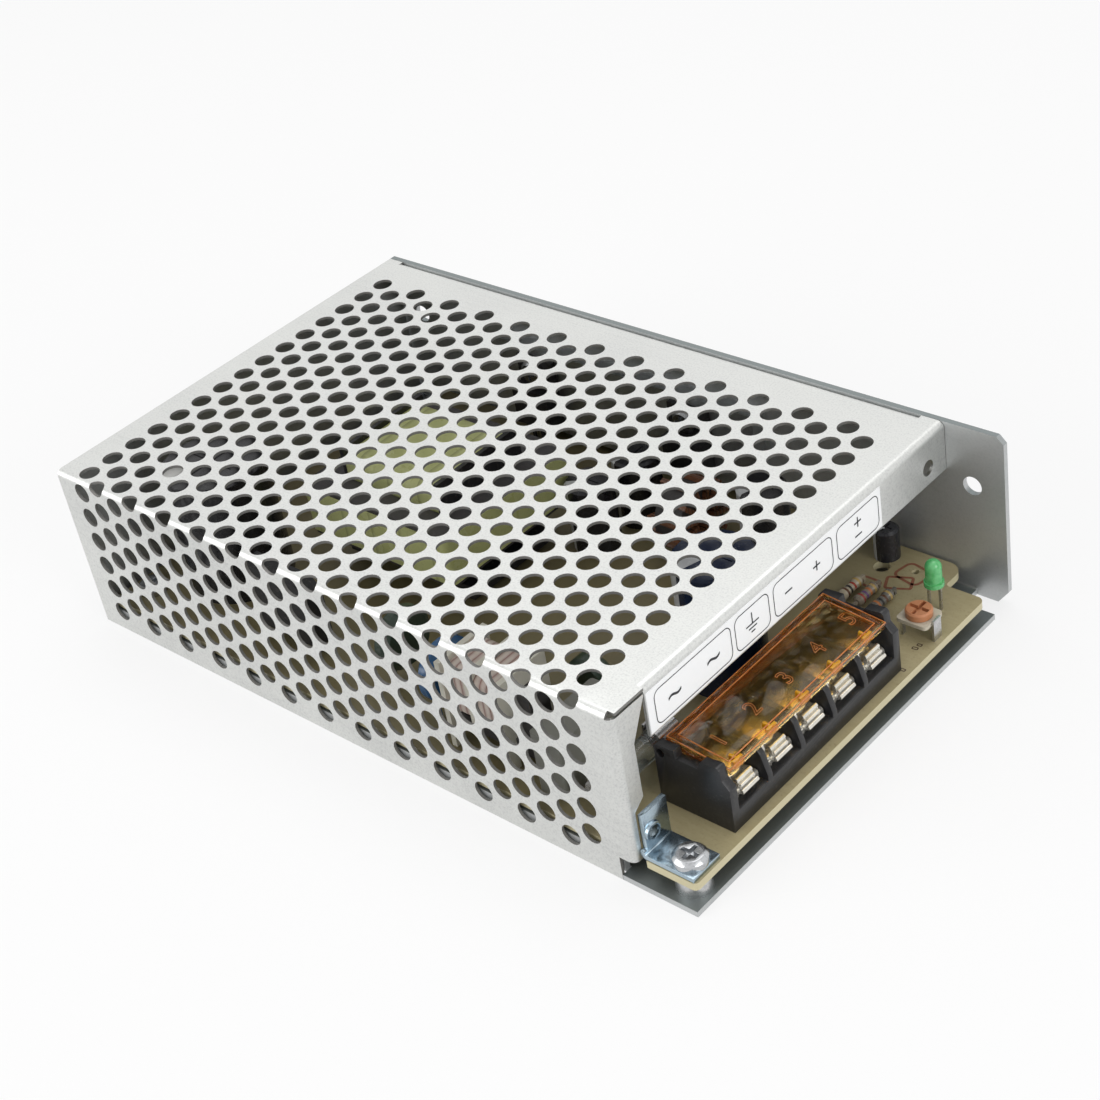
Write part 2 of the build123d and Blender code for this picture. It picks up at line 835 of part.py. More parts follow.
def terminal_cover():
    """Clear amber cover, hinged on two pins along its rear edge."""
    slope = radians(cover_slope)
    rear_x = block_rear + cover_rear_reach
    front_x = block_front
    top_rear = board_top + cover_rise
    top_front = top_rear - (front_x - rear_x) * sin(slope) / cos(slope)
    t = cover_plate
    inner_left = block_left + end_wall_thickness + cover_side_gap
    inner_right = block_right - end_wall_thickness - cover_side_gap
    section = outline(
        [(hinge_x - cover_arm[0][0], hinge_z + cover_arm[0][1]), (rear_x - cover_knee, top_rear),
         (rear_x, top_rear), (front_x, top_front), (front_x, top_front - t), (rear_x, top_rear - t),
         (hinge_x + cover_arm[1][0], hinge_z + cover_arm[1][1])],
        [(front_x, top_front, cover_front_edge)],
    )
    plate = along_y(section, inner_left, inner_right)
    plate += bar_y(hinge_x, hinge_z, inner_left, inner_right, hinge_barrel_radius)
    rib = block(rear_x - cover_rib, rear_x + cover_rib, inner_left, inner_right,
                top_rear - cover_rib_depth, top_rear + cover_rib)
    plate += rib
    # Turned-down edges at both ends stiffen the plate
    skirt = outline(
        [(rear_x, top_rear - t / 2), (front_x, top_front - t / 2),
         (front_x - skirt_front[0], top_front - t - skirt_front[1]),
         (rear_x + skirt_rear[0], top_rear - t - skirt_rear[1])]
    )
    plate += along_y(skirt, inner_left, inner_left + skirt_thickness)
    plate += along_y(skirt, inner_right - skirt_thickness, inner_right)
    for y0, y1 in ((block_left + pin_end_gap, inner_left + 1), (inner_right - 1, block_right - pin_end_gap)):
        plate += bar_y(hinge_x, hinge_z, y0, y1, hinge_pin_radius)
    return plate


# Indicator lamp, trimmer and small parts


def led_lens():
    """Green 3 mm lamp standing on its leads."""
    z0 = board_top + led_stand
    profile = make_face(
        Polyline((0, 0), (led_flange_radius, 0), (led_flange_radius, led_flange_height),
                 (led_radius, led_flange_height), (led_radius, led_body - led_radius))
        + RadiusArc((led_radius, led_body - led_radius), (0, led_body), -led_radius)
        + Line((0, led_body), (0, 0))
    )
    return Pos(led_x, led_y, z0) * revolve(Plane.XZ * profile, Axis.Z)


def led_leads():
    half = led_lead_pitch / 2
    w = led_lead_half_width
    return [
        block(led_x + side * half - w, led_x + side * half + w, led_y - w, led_y + w,
              board_top, board_top + led_stand)
        for side in (-1, 1)
    ]


def trimmer_plate_z():
    return board_top + trimmer_plate_height


def trimmer_body():
    """Pale resistance plate of the trimmer."""
    z0 = trimmer_plate_z()
    plate = block(
        trimmer_x - trimmer_plate_x / 2, trimmer_x + trimmer_plate_x / 2,
        trimmer_y - trimmer_plate_y / 2, trimmer_y + trimmer_plate_y / 2, z0, z0 + trimmer_plate_thickness,
    )
    plate = fillet(plate.edges().filter_by(Axis.Z), trimmer_corner)
    return plate - post(trimmer_x, trimmer_y, z0 - 1, z0 + 2, spindle_radius + hinge_clearance)


def trimmer_clip():
    """Tinned legs and side clip that carry the plate."""
    z0 = trimmer_plate_z()
    rear_edge = trimmer_x - trimmer_plate_x / 2
    front_edge = trimmer_x + trimmer_plate_x / 2
    half = trimmer_clip_width / 2
    foot_y = trimmer_plate_y / 2 - half
    leg_x = rear_edge + trimmer_leg_inset
    leg_half = trimmer_leg_width / 2
    bodies = []
    for y in (trimmer_y - foot_y, trimmer_y + foot_y):
        bodies.append(block(leg_x, leg_x + trimmer_leg_sheet, y - leg_half, y + leg_half, board_top, z0))
    t = trimmer_clip_sheet
    inner = front_edge + 0.1
    outer = inner + t
    shelf_top = z0 - trimmer_clip_gap
    reach = front_edge - trimmer_clip_reach
    clip = outline(
        [(reach, shelf_top), (inner, shelf_top), (inner, z0 + trimmer_clip_rise),
         (outer, z0 + trimmer_clip_rise), (outer, board_top), (inner, board_top), (inner, shelf_top - t), (reach, shelf_top - t)],
    )
    support = along_y(clip, trimmer_y - half, trimmer_y + half)
    support += block(reach, reach + trimmer_corner, trimmer_y - half, trimmer_y + half, shelf_top - t, z0)
    bodies.append(support)
    return bodies


def trimmer_rotor():
    """Orange rotor with a cross slot, turning on its spindle through the plate."""
    z0 = trimmer_plate_z() + trimmer_plate_thickness + hinge_clearance
    rotor = post(trimmer_x, trimmer_y, z0, z0 + rotor_height, rotor_radius)
    rotor = chamfer(rotor.edges().group_by(Axis.Z)[-1], rotor_edge)
    arm = rotor_radius * rotor_slot_reach
    w = rotor_slot_half_width
    floor = z0 + rotor_slot_floor
    top = z0 + rotor_height + 1
    rotor -= block(trimmer_x - arm, trimmer_x + arm, trimmer_y - w, trimmer_y + w, floor, top)
    rotor -= block(trimmer_x - w, trimmer_x + w, trimmer_y - arm, trimmer_y + arm, floor, top)
    spindle_low = trimmer_plate_z() - spindle_reach
    return rotor + post(trimmer_x, trimmer_y, spindle_low, z0 + rotor_edge, spindle_radius)


def resistor(x, y):
    """Axial resistor lying along Y, its leads bent down to the board."""
    z = board_top + resistor_radius + fit_gap
    half = resistor_length / 2
    start, end, waist = resistor_bulge
    thin = resistor_radius * resistor_waist
    tip = resistor_radius * resistor_tip
    profile = outline(
        [(0, -half), (tip, -half), (resistor_radius, -half + start), (resistor_radius, -half + end),
         (thin, -half + waist), (thin, half - waist), (resistor_radius, half - end),
         (resistor_radius, half - start), (tip, half), (0, half)]
    )
    body = Pos(x, y, z) * revolve(profile, Axis.Y)
    reach = half + resistor_lead_reach
    for side in (-1, 1):
        inner = y + side * (half - lead_radius)
        outer = y + side * (reach + lead_radius)
        body += block(x - lead_radius, x + lead_radius, min(inner, outer), max(inner, outer),
                      z - lead_radius, z + lead_radius)
        body += lead(x, y + side * reach, z)
    return body


# Transformer and chokes


def transformer_core():
    """Two ferrite halves, joined as one closed frame with a middle leg."""
    z0 = board_top + core_base_rise
    z1 = z0 + core_thickness
    x0 = transformer_x - core_length / 2
    x1 = transformer_x + core_length / 2
    y0 = transformer_y - core_width / 2
    y1 = transformer_y + core_width / 2
    rim = Pos(transformer_x, transformer_y) * RectangleRounded(core_length, core_width, core_corner)
    body = along_z(rim, z0, z1)
    half_leg = core_centre_leg / 2
    for ya, yb in ((y0 + core_leg, transformer_y - half_leg), (transformer_y + half_leg, y1 - core_leg)):
        body -= block(x0 + core_yoke, x1 - core_yoke, ya, yb, z0 - 1, z1 + 1)
    return body


def coil_limits():
    """X limits of the bobbin, between the core's two yokes."""
    reach = core_length / 2 - core_yoke - yoke_gap
    return transformer_x - reach, transformer_x + reach


def transformer_bobbin():
    """Bobbin sleeve with two flanges and the pin rails that stand on the board."""
    x0, x1 = coil_limits()
    half_y = core_centre_leg / 2 + core_fit
    z0 = board_top + core_base_rise - core_fit
    z1 = z0 + core_thickness + 2 * core_fit
    w = bobbin_wall
    sleeve = block(x0, x1, transformer_y - half_y - w, transformer_y + half_y + w, z0 - w, z1 + w)
    flange_y = core_width / 2 - core_leg - flange_gap
    coil_bottom = board_top + core_base_rise - coil_wall
    for xa, xb in ((x0, x0 + w), (x1 - w, x1)):
        sleeve += block(xa, xb, transformer_y - flange_y, transformer_y + flange_y,
                        coil_bottom - flange_reach, z1 + coil_wall + flange_reach)
    for xa, xb in ((x0 - rail_length, x0 + w), (x1 - w, x1 + rail_length)):
        sleeve += block(xa, xb, transformer_y - flange_y, transformer_y + flange_y,
                        board_top + rail_bottom, coil_bottom + rail_overlap)
    sleeve -= block(x0 - 1, x1 + 1, transformer_y - half_y, transformer_y + half_y, z0, z1)
    for x in (x0 - rail_pin_inset, x1 + rail_pin_inset):
        for step in range(-2, 3):
            sleeve += lead(x, transformer_y + step * rail_pin_pitch, board_top + rail_bottom + rail_pin_reach)
    return sleeve


def transformer_coil():
    """Windings under yellow tape, bulging over and under the core."""
    x0, x1 = coil_limits()
    half_y = core_centre_leg / 2 + core_fit + bobbin_wall
    z0 = board_top + core_base_rise - core_fit - bobbin_wall
    z1 = z0 + core_thickness + 2 * (core_fit + bobbin_wall)
    wall = coil_wall - bobbin_wall - coil_gap
    side = core_width / 2 - core_leg - flange_gap - half_y
    xa = x0 + bobbin_wall + coil_end_gap
    xb = x1 - bobbin_wall - coil_end_gap
    outer = block(xa, xb, transformer_y - half_y - side, transformer_y + half_y + side, z0 - wall, z1 + wall)
    outer = fillet(outer.edges().filter_by(Axis.X), min(coil_round, wall * 0.7))
    return outer - block(xa - 1, xb + 1, transformer_y - half_y, transformer_y + half_y, z0, z1)


def transformer_tape():
    """Tape wound round the core's rim to hold its halves together."""
    z0 = board_top + core_base_rise + tape_margin
    z1 = z0 + core_thickness - 2 * tape_margin
    half_x = core_length / 2
    half_y = core_width / 2
    t = tape_thickness
    ring = RectangleRounded(2 * (half_x + t), 2 * (half_y + t), core_corner + t)
    ring -= RectangleRounded(2 * half_x, 2 * half_y, core_corner)
    return Pos(transformer_x, transformer_y) * along_z(ring, z0, z1)


def choke_limits():
    half = choke_core_length / 2
    return choke_x - half, choke_x + half


def choke_middle():
    """Z of the windings' middle."""
    return board_top + choke_rise + choke_coil_size / 2


def choke_core():
    """Ferrite frame standing upright, its top bar inside the windings."""
    x0, x1 = choke_limits()
    half_y = choke_leg / 2
    z0 = board_top + choke_core_stand
    z1 = choke_middle() + choke_leg / 2
    body = block(x0, x1, choke_y - half_y, choke_y + half_y, z0, z1)
    return body - block(x0 + choke_yoke, x1 - choke_yoke, choke_y - half_y - 1, choke_y + half_y + 1,
                        z0 + choke_yoke, choke_middle() - choke_leg / 2)


def choke_bobbin():
    """White bobbin with three flanges and its feet."""
    middle = choke_middle()
    half = choke_coil_length / 2
    bore = choke_leg / 2 + core_fit
    outer = bore + choke_sleeve
    reach = choke_coil_size / 2
    t = choke_flange
    body = block(choke_x - half, choke_x + half, choke_y - outer, choke_y + outer,
                 middle - outer, middle + outer)
    for x in (choke_x - half, choke_x - t / 2, choke_x + half - t):
        body += block(x, x + t, choke_y - reach, choke_y + reach, middle - reach, middle + reach)
    for x in (choke_x - half, choke_x + half - t):
        for side in (-1, 1):
            foot_y = choke_y + side * (reach - choke_foot)
            body += block(x, x + t, foot_y - choke_foot, foot_y + choke_foot, board_top, middle)
    return body - block(choke_x - half - 1, choke_x + half + 1, choke_y - bore, choke_y + bore,
                        middle - bore, middle + bore)


def choke_winding():
    """Two sections of red enamelled wire, modelled by their outer form."""
    middle = choke_middle()
    end = choke_coil_length / 2 - choke_flange - fit_gap
    start = choke_flange / 2 + fit_gap
    core = choke_leg / 2 + core_fit + choke_sleeve
    reach = choke_coil_size / 2 - choke_wire_depth
    bodies = []
    for x0, x1 in ((choke_x - end, choke_x - start), (choke_x + start, choke_x + end)):
        body = block(x0, x1, choke_y - reach, choke_y + reach, middle - reach, middle + reach)
        body = fillet(body.edges().filter_by(Axis.X), choke_wire_round)
        body -= block(x0 - 1, x1 + 1, choke_y - core, choke_y + core, middle - core, middle + core)
        bodies.append(body)
    return bodies


def toroid_middle():
    """Z of the ring's middle."""
    return board_top + toroid_radius + toroid_stand


def output_choke_core():
    """A ring standing on its rim, its axis along X."""
    ring = Circle(toroid_radius) - Circle(toroid_bore)
    face = Plane.YZ.offset(toroid_x - toroid_width / 2) * Pos(toroid_y, toroid_middle()) * ring
    return extrude(face, toroid_width)


def output_choke_winding():
    """Thick turns round the ring, one loop beside the next, down to the board."""
    wire = toroid_wire
    out = toroid_radius + fit_gap
    inn = toroid_bore - fit_gap
    half = toroid_width / 2 + fit_gap
    loop = block(-half - wire, half + wire, -wire / 2, wire / 2, inn - wire, out + wire)
    loop -= block(-half, half, -wire, wire, inn, out)
    bodies = []
    for turn in range(toroid_turns):
        angle = 360.0 / toroid_turns * (turn + 0.5)
        bodies.append(Pos(toroid_x, toroid_y, toroid_middle()) * Rot(angle, 0, 0) * loop)
    return bodies


# Capacitors and other parts on the board


def can(x, y, radius, height):
    """Electrolytic can with a vent cross pressed into its top."""
    z1 = board_top + height
    body = post(x, y, board_top, z1, radius)
    body = chamfer(body.edges().group_by(Axis.Z)[-1], can_edge)
    arm = radius * vent_reach
    w = vent_half_width
    body -= block(x - arm, x + arm, y - w, y + w, z1 - vent_depth, z1 + 1)
    body -= block(x - w, x + w, y - arm, y + arm, z1 - vent_depth, z1 + 1)
    return body


def disc(x, y, z, radius, thickness, edge, turned):
    """A coated disc with bevelled rims, its flat sides facing X, or Y when turned."""
    half = thickness / 2
    body = bar_y(x, z, y - half, y + half, radius) if turned else bar_x(y, z, x - half, x + half, radius)
    return chamfer(body.edges().filter_by(GeomType.CIRCLE), edge)


def disc_capacitor(x, y):
    """Coated disc standing on two leads, its flat sides facing X."""
    z = board_top + disc_capacitor_stand + disc_capacitor_radius
    body = disc(x, y, z, disc_capacitor_radius, disc_capacitor_thickness, disc_capacitor_edge, False)
    for side in (-1, 1):
        body += lead(x, y + side * disc_lead_reach, z)
    return body


def x_capacitor():
    """Moulded box capacitor across the mains."""
    body = block(*x_capacitor_box, board_top, board_top + x_capacitor_height)
    return fillet(body.edges().filter_by(Axis.Z), x_capacitor_edge)


def fuse_tube():
    """Glass cartridge fuse."""
    half = fuse_length / 2
    return bar_y(fuse_x, board_top + fuse_axis_rise, fuse_y - half, fuse_y + half, fuse_radius - fuse_cap_wall)


def fuse_caps():
    """Nickel end caps pressed over the glass."""
    z = board_top + fuse_axis_rise
    half = fuse_length / 2
    bodies = []
    for side in (-1, 1):
        near = fuse_y + side * (half - fuse_cap_length)
        far = fuse_y + side * (half + fuse_cap_end)
        cap = bar_y(fuse_x, z, min(near, far), max(near, far), fuse_radius)
        glass = fuse_y + side * half
        bore = bar_y(fuse_x, z, min(near - side, glass), max(near - side, glass), fuse_radius - fuse_cap_wall)
        bodies.append(cap - bore)
    return bodies


def fuse_clips():
    """Spring clips that hold the fuse's caps."""
    z = board_top + fuse_axis_rise
    inner = fuse_radius + fuse_clip_gap
    outer = inner + fuse_clip_sheet
    half = fuse_clip_half_length
    bodies = []
    for side in (-1, 1):
        y = fuse_y + side * (fuse_length / 2 - fuse_clip_inset)
        clip = block(fuse_x - outer, fuse_x + outer, y - half, y + half, board_top, z + fuse_clip_rise)
        clip -= block(fuse_x - inner, fuse_x + inner, y - half - 1, y + half + 1, board_top + fuse_clip_sheet,
                      z + fuse_clip_rise + 1)
        bodies.append(clip)
    return bodies


def thermistor():
    """Dark disc thermistor on two leads."""
    x, y = thermistor_spot
    z = board_top + thermistor_stand + thermistor_radius
    body = disc(x, y, z, thermistor_radius, thermistor_thickness, thermistor_edge, True)
    for side in (-1, 1):
        body += lead(x + side * thermistor_lead_reach, y, z)
    return body


def bridge_rectifier():
    """Flat single-row bridge rectifier with one corner cut."""
    x, y = bridge_spot
    x0 = x - bridge_length / 2
    x1 = x + bridge_length / 2
    z0 = board_top + bridge_stand
    z1 = z0 + bridge_height
    shape = outline([(x0, z0), (x1, z0), (x1, z1 - bridge_corner), (x1 - bridge_corner, z1), (x0, z1)])
    body = along_y(shape, y - bridge_thickness / 2, y + bridge_thickness / 2)
    for step in range(4):
        body += lead(x + (step - 1.5) * bridge_lead_pitch, y, z0 + 1)
    return body


def spreader_back():
    """The spreader lies flat on the tall wall."""
    return wall_inner


def spreader_screw_spots():
    """X and Z of the screws through the power parts, the spreader and the wall."""
    return tuple((x, board_top + power_part_stand + power_hole_rise) for x in power_parts_x)


def heat_spreader():
    """Aluminium bar that carries the heat of the power parts into the wall."""
    x0, x1 = spreader_x
    z0, z1 = spreader_height
    body = block(x0, x1, spreader_back() - spreader_thickness, spreader_back(), board_top + z0, board_top + z1)
    for x, z in spreader_screw_spots():
        body -= bar_y(x, z, spreader_back() - spreader_thickness - 1, spreader_back() + 1, m3_radius + fit_gap)
    return body


def power_part(x):
    """Flat power package: moulded body, metal tab with its hole, three leads."""
    face = spreader_back() - spreader_thickness
    half = power_part_half_width
    z0 = board_top + power_part_stand
    shoulder = z0 + power_body_height
    body = block(x - half, x + half, face - power_body_thickness, face, z0, shoulder)
    body += block(x - half, x + half, face - power_tab_thickness, face, shoulder, shoulder + power_tab_height)
    body -= bar_y(x, z0 + power_hole_rise, face - power_body_thickness, face + 1, m3_hole_radius)
    near, far = power_lead_setback
    w = power_lead_half_width
    for step in (-1, 0, 1):
        middle = x + step * pin_pitch
        body += block(middle - w, middle + w, face - far, face - near, board_top, z0 + 1)
    return body


def spreader_screws():
    """M3 screws through the tabs and the spreader, into the wall."""
    face = spreader_back() - spreader_thickness
    seat = face - power_tab_thickness
    bodies = []
    for x, z in spreader_screw_spots():
        length = right - seat - screw_end_gap
        screw = pan_screw(0, 0, 0, length, m3_radius, spreader_head_radius, m3_head_height)
        bodies.append(Pos(x, seat, z) * Rot(90, 0, 0) * screw)
    return bodies


def cover_screws():
    """Flush screws from the tall wall into the cover's edge flange."""
    bodies = []
    for x in cover_screw_spots():
        cone = countersink(x, cover_screw_z(), 0.0)
        shank = bar_y(x, cover_screw_z(), cover_right - cover_screw_reach, right - base_sheet + 0.01, m3_radius)
        bodies.append(cone + shank)
    return bodies


def chip(x, y, length, pins):
    """Small dual-row package on its pins."""
    z0 = board_top + chip_stand
    z1 = z0 + chip_height
    rear_edge = x - length / 2
    body = block(rear_edge, x + length / 2, y - chip_half_width, y + chip_half_width, z0, z1)
    body -= post(rear_edge + chip_mark_inset, y, z1 - chip_mark_depth, z1 + 1, chip_mark_radius)
    pin_low, pin_high = chip_pin_rise
    w = chip_pin_half_width
    for pin in range(pins // 2):
        px = x + (pin - (pins // 2 - 1) / 2) * pin_pitch
        for side in (-1, 1):
            tip = y + side * chip_pin_reach
            root = y + side * (chip_half_width - fit_gap)
            bend = tip - side * (pin_high - pin_low)
            body += block(px - w, px + w, min(tip, root), max(tip, root), z0 + pin_low, z0 + pin_high)
            body += block(px - w, px + w, min(tip, bend), max(tip, bend), board_top, z0 + pin_high)
    return body


# Every node and its solids

nodes = {
    "base_chassis": base_chassis(),
    "perforated_cover": perforated_cover(),
    "terminal_label": terminal_label(),
    "insulating_sheet": insulating_sheet(),
    "pcb": pcb(),
    "standoffs": standoffs(),
    "pcb_screws": pcb_screws(),
    "earth_bracket": earth_bracket(),
    "terminal_block": terminal_block(),
    "terminal_tabs": terminal_tabs(),
    "terminal_cover": terminal_cover(),
    "led_lens": led_lens(),
    "led_leads": led_leads(),
    "trimmer_body": trimmer_body(),
    "trimmer_clip": trimmer_clip(),
    "trimmer_rotor": trimmer_rotor(),
    "small_capacitor": can(*small_capacitor),
    "transformer_core": transformer_core(),
    "transformer_bobbin": transformer_bobbin(),
    "transformer_coil": transformer_coil(),
    "transformer_tape": transformer_tape(),
    "choke_core": choke_core(),
    "choke_bobbin": choke_bobbin(),
    "choke_winding": choke_winding(),
    "output_choke_core": output_choke_core(),
    "output_choke_winding": output_choke_winding(),
    "main_capacitor": can(*main_capacitor),
    "x_capacitor": x_capacitor(),
    "fuse_tube": fuse_tube(),
    "fuse_caps": fuse_caps(),
    "fuse_clips": fuse_clips(),
    "thermistor": thermistor(),
    "bridge_rectifier": bridge_rectifier(),
    "heat_spreader": heat_spreader(),
    "switching_transistor": power_part(power_parts_x[0]),
    "output_rectifier": power_part(power_parts_x[1]),
    "spreader_screws": spreader_screws(),
    "cover_screws": cover_screws(),
    "control_chip": chip(*control_chip),
    "optocoupler": chip(*optocoupler),
}
for number in range(terminals):
    nodes[f"clamp_plate_{number + 1}"] = clamp_plate(number)
    nodes[f"terminal_screw_{number + 1}"] = terminal_screw(number)
for number, spot in enumerate(resistor_spots):
    nodes[f"resistor_{number + 1}"] = resistor(*spot)
for number, size in enumerate(output_capacitors):
    nodes[f"output_capacitor_{number + 1}"] = can(*size)
for number, spot in enumerate(disc_capacitor_spots):
    nodes[f"disc_capacitor_{number + 1}"] = disc_capacitor(*spot)

for name, shape in nodes.items():
    solids = shape if isinstance(shape, list) else [shape]
    pieces = [solid for item in solids for solid in item.solids()]
    whole = pieces[0] if len(pieces) == 1 else Compound(children=pieces)
    export_step(whole, f"parts/{name}.step")
    print(name, len(pieces))
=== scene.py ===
# %% [markdown]
# # Enclosed switching power supply
# The real object is a folded metal case about 159 mm long, with a perforated cover and a row of five
# screw terminals under an amber flap. The CAD frame gives every piece its place, so this scene
# only adds finishes and the detail that the solids leave out. Loading the frame comes first, because
# all later pieces read their place from it.

# %% Load the frame
from math import cos, pi, radians, sin, sqrt

import bmesh
import bpy
from mathutils import Matrix, Vector


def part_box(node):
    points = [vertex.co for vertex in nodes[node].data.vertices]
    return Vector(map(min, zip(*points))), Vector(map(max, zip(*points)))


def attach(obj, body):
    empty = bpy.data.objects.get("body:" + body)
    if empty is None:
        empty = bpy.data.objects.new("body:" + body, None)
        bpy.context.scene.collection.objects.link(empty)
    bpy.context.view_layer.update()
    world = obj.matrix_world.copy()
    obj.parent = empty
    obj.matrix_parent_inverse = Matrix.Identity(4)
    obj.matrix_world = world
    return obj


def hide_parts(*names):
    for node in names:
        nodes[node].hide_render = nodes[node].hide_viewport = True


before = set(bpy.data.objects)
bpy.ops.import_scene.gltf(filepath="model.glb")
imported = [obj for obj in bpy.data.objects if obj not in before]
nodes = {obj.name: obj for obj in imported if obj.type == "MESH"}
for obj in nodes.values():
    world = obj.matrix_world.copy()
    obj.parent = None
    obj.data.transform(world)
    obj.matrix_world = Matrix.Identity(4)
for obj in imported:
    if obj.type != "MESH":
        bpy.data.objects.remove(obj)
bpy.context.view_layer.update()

MM = 0.001
print("CAD pieces loaded:", len(nodes))


def put_in_scene(name, data):
    """An object for a mesh, curve, lamp or camera, linked to the scene."""
    made = bpy.data.objects.new(name, data)
    bpy.context.scene.collection.objects.link(made)
    return made

# %% [markdown]
# ## Camera
# The photo looks down on the front left corner from about 0.4 m away, so near edges are larger than
# far ones. The camera could be placed by eye, but a fit of the case's corners and
# holes gives its place and turn directly. The turn is written as the camera's own three axes.

# %% Camera
camera_place = Vector((251.536, -223.464, 250.07)) * MM
camera_right = Vector((0.74209, 0.65254, -0.15328))
camera_up = Vector((-0.28996, 0.51868, 0.8043))
focal_in_pixels = 2080.2
photo_pixels = 1100

lens = bpy.data.cameras.new("camera")
lens.sensor_width = 36.0
lens.sensor_fit = "HORIZONTAL"
lens.lens = focal_in_pixels * lens.sensor_width / photo_pixels
lens.clip_start = 0.01
camera = put_in_scene("camera", lens)
camera_back = camera_right.cross(camera_up).normalized()
turn = Matrix((camera_right.normalized(), camera_up.normalized(), camera_back)).transposed()
camera.matrix_world = Matrix.Translation(camera_place) @ turn.to_4x4()
bpy.context.scene.camera = camera
print("camera lens in mm:", round(lens.lens, 2))

# %% [markdown]
# ## Node helpers
# A finish is a small graph of nodes. The editor builds it by hand, node by node. Here a helper adds
# one node, fills its sockets by name and links whatever socket it is given, which keeps each graph
# short enough to read.

# %% Node helpers
def feed(tree, socket, value):
    if isinstance(value, bpy.types.NodeSocket):
        tree.links.new(value, socket)
    else:
        socket.default_value = value


def add(tree, kind, inputs=None, **settings):
    made = tree.nodes.new(kind)
    for name, value in settings.items():
        setattr(made, name, value)
    for name, value in (inputs or {}).items():
        feed(tree, made.inputs[name], value)
    return made


def math(tree, operation, first, second=0.0, clamp=False):
    made = tree.nodes.new("ShaderNodeMath")
    made.operation = operation
    made.use_clamp = clamp
    feed(tree, made.inputs[0], first)
    feed(tree, made.inputs[1], second)
    return made.outputs[0]


def blend_colours(tree, amount, first, second):
    made = tree.nodes.new("ShaderNodeMix")
    made.data_type = "RGBA"
    feed(tree, made.inputs[0], amount)
    feed(tree, made.inputs[6], first)
    feed(tree, made.inputs[7], second)
    return made.outputs[2]


def spread(tree, value, low_in, high_in, low_out, high_out):
    made = add(tree, "ShaderNodeMapRange", {
        "Value": value, "From Min": low_in, "From Max": high_in, "To Min": low_out, "To Max": high_out})
    return made.outputs[0]


def rgb(red, green, blue):
    """A colour given as the 0 to 255 values seen in a picture."""
    out = []
    for part in (red, green, blue):
        c = part / 255
        out.append(c / 12.92 if c < 0.04045 else ((c + 0.055) / 1.055) ** 2.4)
    return (*out, 1.0)


print("mid grey as the shader takes it:", round(rgb(128, 128, 128)[0], 3))

# %% [markdown]
# ## Shared effects
# Three effects turn up in many finishes: the cloudy grain of rolled sheet, the dusty grain of moulded
# plastic, and turns of wire. They could be copied into each material, but a shader group with named
# sockets is built once. The group only puts out colours, values and heights, and the shader itself
# stays in each material, so that the model can be exported with its finishes.

# %% Shader group maker
def new_group(name, inputs, outputs):
    tree = bpy.data.node_groups.new(name, "ShaderNodeTree")
    for label, kind, default in inputs:
        socket = tree.interface.new_socket(name=label, in_out="INPUT", socket_type="NodeSocket" + kind)
        if default is not None:
            socket.default_value = default
    for label, kind in outputs:
        tree.interface.new_socket(name=label, in_out="OUTPUT", socket_type="NodeSocket" + kind)
    return tree, tree.nodes.new("NodeGroupInput"), tree.nodes.new("NodeGroupOutput")


def noise(tree, vector, scale, detail=2.0, roughness=0.5):
    made = add(tree, "ShaderNodeTexNoise",
               {"Vector": vector, "Scale": scale, "Detail": detail, "Roughness": roughness})
    return made.outputs[0]


# %% Rolled sheet group
sheet_group, given, gives = new_group(
    "rolled sheet",
    [("Vector", "Vector", None), ("Base", "Color", (0.6, 0.6, 0.6, 1)), ("Stain", "Color", (0.4, 0.4, 0.4, 1)),
     ("Cloud scale", "Float", 40.0), ("Speck scale", "Float", 2500.0), ("Specks", "Float", 0.3),
     ("Low roughness", "Float", 0.3), ("High roughness", "Float", 0.5)],
    [("Color", "Color"), ("Roughness", "Float"), ("Height", "Float")],
)
place, tree = given.outputs["Vector"], sheet_group
cloud = noise(tree, place, given.outputs["Cloud scale"], 4.0, 0.6)
speck = noise(tree, place, given.outputs["Speck scale"], 2.0, 0.7)
rolled = add(tree, "ShaderNodeMapping", {"Vector": place, "Scale": (14.0, 900.0, 900.0)})
lines = noise(tree, rolled.outputs[0], 1.0, 3.0, 0.6)
amount = math(tree, "MULTIPLY", spread(tree, speck, 0.45, 0.7, 0.0, 1.0), given.outputs["Specks"])
soft_cloud = math(tree, "MULTIPLY", spread(tree, cloud, 0.35, 0.7, 0.0, 1.0), 0.35)
amount = math(tree, "ADD", amount, soft_cloud, clamp=True)
amount = math(tree, "MULTIPLY", amount, spread(tree, lines, 0.3, 0.7, 0.6, 1.0))
wander = math(tree, "ADD", math(tree, "MULTIPLY", cloud, 0.6), math(tree, "MULTIPLY", lines, 0.4))
feed(tree, gives.inputs["Color"], blend_colours(tree, amount, given.outputs["Base"], given.outputs["Stain"]))
feed(tree, gives.inputs["Roughness"],
     spread(tree, wander, 0.3, 0.7, given.outputs["Low roughness"], given.outputs["High roughness"]))
feed(tree, gives.inputs["Height"], math(tree, "ADD", speck, lines))
print("group made:", tree.name)

